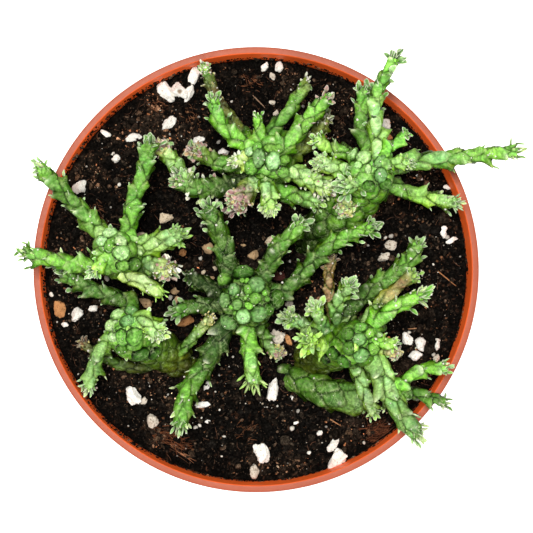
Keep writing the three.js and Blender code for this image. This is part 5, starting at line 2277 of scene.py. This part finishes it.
    def build(self) -> None:
        """Builds the mix as a few pieces."""
        block = Piece("mix_block")
        block.add(self.surface())
        made = [(block, [self.peat], "soil", "peat_mix")]
        made += [(self.crumbs(*row), [self.peat], None, "peat_mix") for row in CRUMBS]
        made += [
            (self.wall_crumbs(), [self.peat], None, "peat_mix"),
            (self.fibres(), [self.dry], None, "peat_mix"),
            (self.hairs(), [self.dry], None, "peat_mix"),
            (self.specks(), [self.perlite], None, "perlite"),
            (self.grains(), [self.perlite, self.dry], None, "perlite"),
            (self.largest(), [self.perlite], "perlite_large", "perlite"),
        ]
        for piece, finishes, node, slot in made:
            part = piece.build(finishes)
            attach(part, BODY)
            if node:
                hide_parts(node)
            log.info("%s: %d faces", part.name, len(part.data.polygons))


@dataclass
class NurseryPot:
    """The moulded pot: foot ring, tapered wall, collar and rounded rim, with drain holes."""

    height: float = 96
    rim: float = 60
    rim_wall: float = 1.9
    collar: float = 15
    step_in: float = 1.8
    draft: float = 0.8
    base: float = 42
    wall: float = 1.3
    floor: float = 1.8
    foot_width: float = 8
    foot: float = 1.5
    edge: float = 0.35
    pad: float = 14
    drains: int = 8
    drain_radius: float = 3.5
    drain_circle: float = 24.5
    sides: int = 256

    def outline(self) -> list[tuple[float, float]]:
        """Draws the pot's section, from the middle of its underside, up its outside and down its inside.

        Returns:
            The section's points, as radius and height.
        """
        under = self.height - self.collar
        worn = self.edge
        lip = [
            (centre + worn * math.cos(a), self.height - worn + worn * math.sin(a))
            for centre, first in ((self.rim - worn, 0), (self.rim - self.rim_wall + worn, 90))
            for a in np.radians(np.linspace(first, first + 90, 7))
        ]
        ring = self.base - self.foot_width
        outside = [
            (0.5, 0.0), (self.pad, 0.0), (self.pad + 0.5, self.foot), (ring - 0.5, self.foot),
            (ring, 0.0), (self.base - 0.9, 0.0), (self.base - 0.3, 0.25), (self.base, 0.9),
        ]
        skirt, inner = self.rim - self.draft, self.rim - self.rim_wall
        top = self.rim - self.step_in - self.draft
        flare, rise, fall = top - self.base, self.height - 0.8 - under, self.collar - 0.8
        shelf = self.foot + self.floor
        outside += [(self.base + flare * k / 12, 0.9 + (under - 0.9) * k / 12) for k in range(1, 13)]
        outside += [(skirt - 0.5, under), (skirt - 0.15, under + 0.15), (skirt, under + 0.5)]
        outside += [(self.rim - self.draft * (1 - k / 6), under + rise * k / 6) for k in range(1, 6)]
        inside = [(inner - self.draft * k / 8, self.height - 0.8 - fall * k / 8) for k in range(1, 9)]
        inside += [(top - self.wall, under - 2 * self.wall), (self.base - self.wall, shelf), (0.5, shelf)]
        return outside + lip + inside

    def paint(self, mesh: bpy.types.Mesh) -> None:
        """Colours the pot by where each point is: the outer colour outside and on the rim, and on the inner
        wall above the mix a deeper, brighter orange and a glow, both painted light, with smears of mix
        towards the mix.

        Args:
            mesh: the pot's mesh, in metres.
        """
        count = len(mesh.vertices)
        place = np.zeros(count * 3)
        mesh.vertices.foreach_get("co", place)
        x, y, z = (place.reshape(-1, 3) / MM).T
        radius = np.hypot(x, y)
        inside = smooth(self.rim - self.rim_wall * 0.8, self.rim - self.rim_wall * 0.98, radius)
        inside = inside * smooth(MIX_LEVEL - 3, MIX_LEVEL - 1, z)
        depth = smooth(self.height, MIX_LEVEL, z) * inside
        tint = blended(OUTER_WALL, INNER_WALL_WITH_PAINTED_LIGHT, np.clip(inside * 0.8 + depth * 0.2, 0, 1))
        for name, kind, values in (
            (TINT, "FLOAT_COLOR", np.c_[tint, np.ones(count)]),
            (PAINTED_GLOW, "FLOAT", inside),
            (SOILED, "FLOAT", inside * (0.06 + 0.6 * smooth(self.height - 4, MIX_LEVEL - 1, z))),
        ):
            layer = mesh.attributes.get(name) or mesh.attributes.new(name, kind, "POINT")
            field = "color" if kind == "FLOAT_COLOR" else "value"
            layer.data.foreach_set(field, values.astype(np.float32).ravel())

    def build(self) -> None:
        """Makes the pot, drills its drain holes and paints it."""
        angle = np.linspace(0, 2 * math.pi, self.sides, endpoint=False)
        section = np.array(self.outline())
        loops = np.stack(
            [
                section[:, :1] * np.cos(angle),
                section[:, :1] * np.sin(angle),
                np.broadcast_to(section[:, 1:], (len(section), self.sides)),
            ],
            -1,
        )
        piece = Piece("nursery_pot")
        piece.add(tube(loops, np.ones_like(loops), pointed=False))
        pot = piece.build([pot_finish()])
        drills = Piece("drills")
        turn = np.linspace(0, 2 * math.pi, 32, endpoint=False)
        for k in range(self.drains):
            way = 2 * math.pi * k / self.drains
            rings = [(self.drain_radius, -3.0), (self.drain_radius, 8.0)]
            cut = np.array([[(r * math.cos(t), r * math.sin(t), z) for t in turn] for r, z in rings])
            cut = cut + self.drain_circle * np.array([math.cos(way), math.sin(way), 0])
            drills.add(tube(cut, np.ones_like(cut), pointed=False))
        tool = drills.build([])
        drill = pot.modifiers.new("drain_holes", "BOOLEAN")
        drill.operation, drill.solver, drill.object = "DIFFERENCE", "EXACT", tool
        shape = bpy.data.meshes.new_from_object(pot.evaluated_get(bpy.context.evaluated_depsgraph_get()))
        pot.modifiers.clear()
        pot.data = shape
        bpy.data.objects.remove(tool)
        self.paint(shape)
        shape.shade_smooth()
        shape.set_sharp_from_angle(angle=math.radians(38))
        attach(pot, BODY)
        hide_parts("pot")
        log.info("%s: %d faces", pot.name, len(shape.polygons))


@dataclass
class Studio:
    """A plain pale floor under soft light."""

    floor_size: float = 4.0

    def area_light(self, name: str, place: Point, size: float, watts: float, tint: Colour) -> None:
        """Adds a round soft light that faces the middle of the plant.

        Args:
            name: its name.
            place: where it hangs, in metres.
            size: how wide it is, in metres.
            watts: its power.
            tint: its colour.
        """
        data = bpy.data.lights.new(name, "AREA")
        data.shape, data.size, data.energy, data.color = "DISK", size, watts, tint
        made = bpy.data.objects.new(name, data)
        made.location = place
        made.rotation_euler = (Vector((0, 0, 0.09)) - Vector(place)).to_track_quat("-Z", "Y").to_euler()
        bpy.context.scene.collection.objects.link(made)

    def build(self) -> None:
        """Makes the floor, the sky's light and the lamps."""
        half = self.floor_size / 2
        mesh = bpy.data.meshes.new("studio_floor")
        corners = [(-half, -half, 0), (half, -half, 0), (half, half, 0), (-half, half, 0)]
        mesh.from_pydata(corners, [], [(0, 1, 2, 3)])
        floor = bpy.data.objects.new("studio_floor", mesh)
        floor.data.materials.append(floor_finish())
        bpy.context.scene.collection.objects.link(floor)
        world = bpy.data.worlds.new("soft_daylight")
        world.use_nodes = True
        sky = world.node_tree.nodes["Background"]
        sky.inputs["Color"].default_value = (0.95, 0.98, 1.0, 1)
        sky.inputs["Strength"].default_value = 0.22
        bpy.context.scene.world = world
        self.area_light("key", (-0.1, 0.1, 1.15), 0.34, 13.5, (1.0, 0.98, 0.93))
        self.area_light("fill", (0.15, -0.6, 0.85), 0.6, 3.0, (1.0, 0.98, 0.95))
        bpy.context.scene.view_settings.view_transform = "Standard"


def dust(pieces: Sequence[bpy.types.Object]) -> Piece:
    """White flecks of perlite dust lying on the plant.

    Args:
        pieces: the limbs that they lie on.

    Returns:
        The piece of dust.
    """
    rng = np.random.default_rng(29)
    places = []
    for limb in pieces:
        count = len(limb.data.vertices)
        place, facing = np.zeros(count * 3), np.zeros(count * 3)
        limb.data.vertices.foreach_get("co", place)
        limb.data.vertices.foreach_get("normal", facing)
        upper = np.nonzero(facing.reshape(-1, 3)[:, 2] > 0.55)[0]
        if len(upper):
            places.append(place.reshape(-1, 3)[rng.choice(upper, 9)] / MM)
    offsets = np.concatenate(places) + np.array([0, 0, 0.1])
    size = 0.09 + 0.3 * rng.random(len(offsets)) ** 3
    form = stone(1, 88, 5, 0.3)
    piece = Piece("perlite_dust")
    tints = np.array([0.8, 0.77, 0.7]) * rng.uniform(0.7, 1.1, (len(offsets), 1))
    piece.add_copies(form, turned_at_random(rng, len(offsets)) * size[:, None, None], offsets, tints)
    return piece


def main() -> None:
    """Builds the pot, the mix and the plant, and reports each."""
    logging.basicConfig(level=logging.INFO, format="%(message)s", stream=sys.stdout)
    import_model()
    view = View()
    view.build()
    Studio().build()
    NurseryPot().build()
    PottingMix(view).build()
    plant = Plant(view)
    plant.build()
    flecks = dust(plant.pieces).build([perlite_finish()])
    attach(flecks, BODY)


if __name__ == "__main__":
    main()
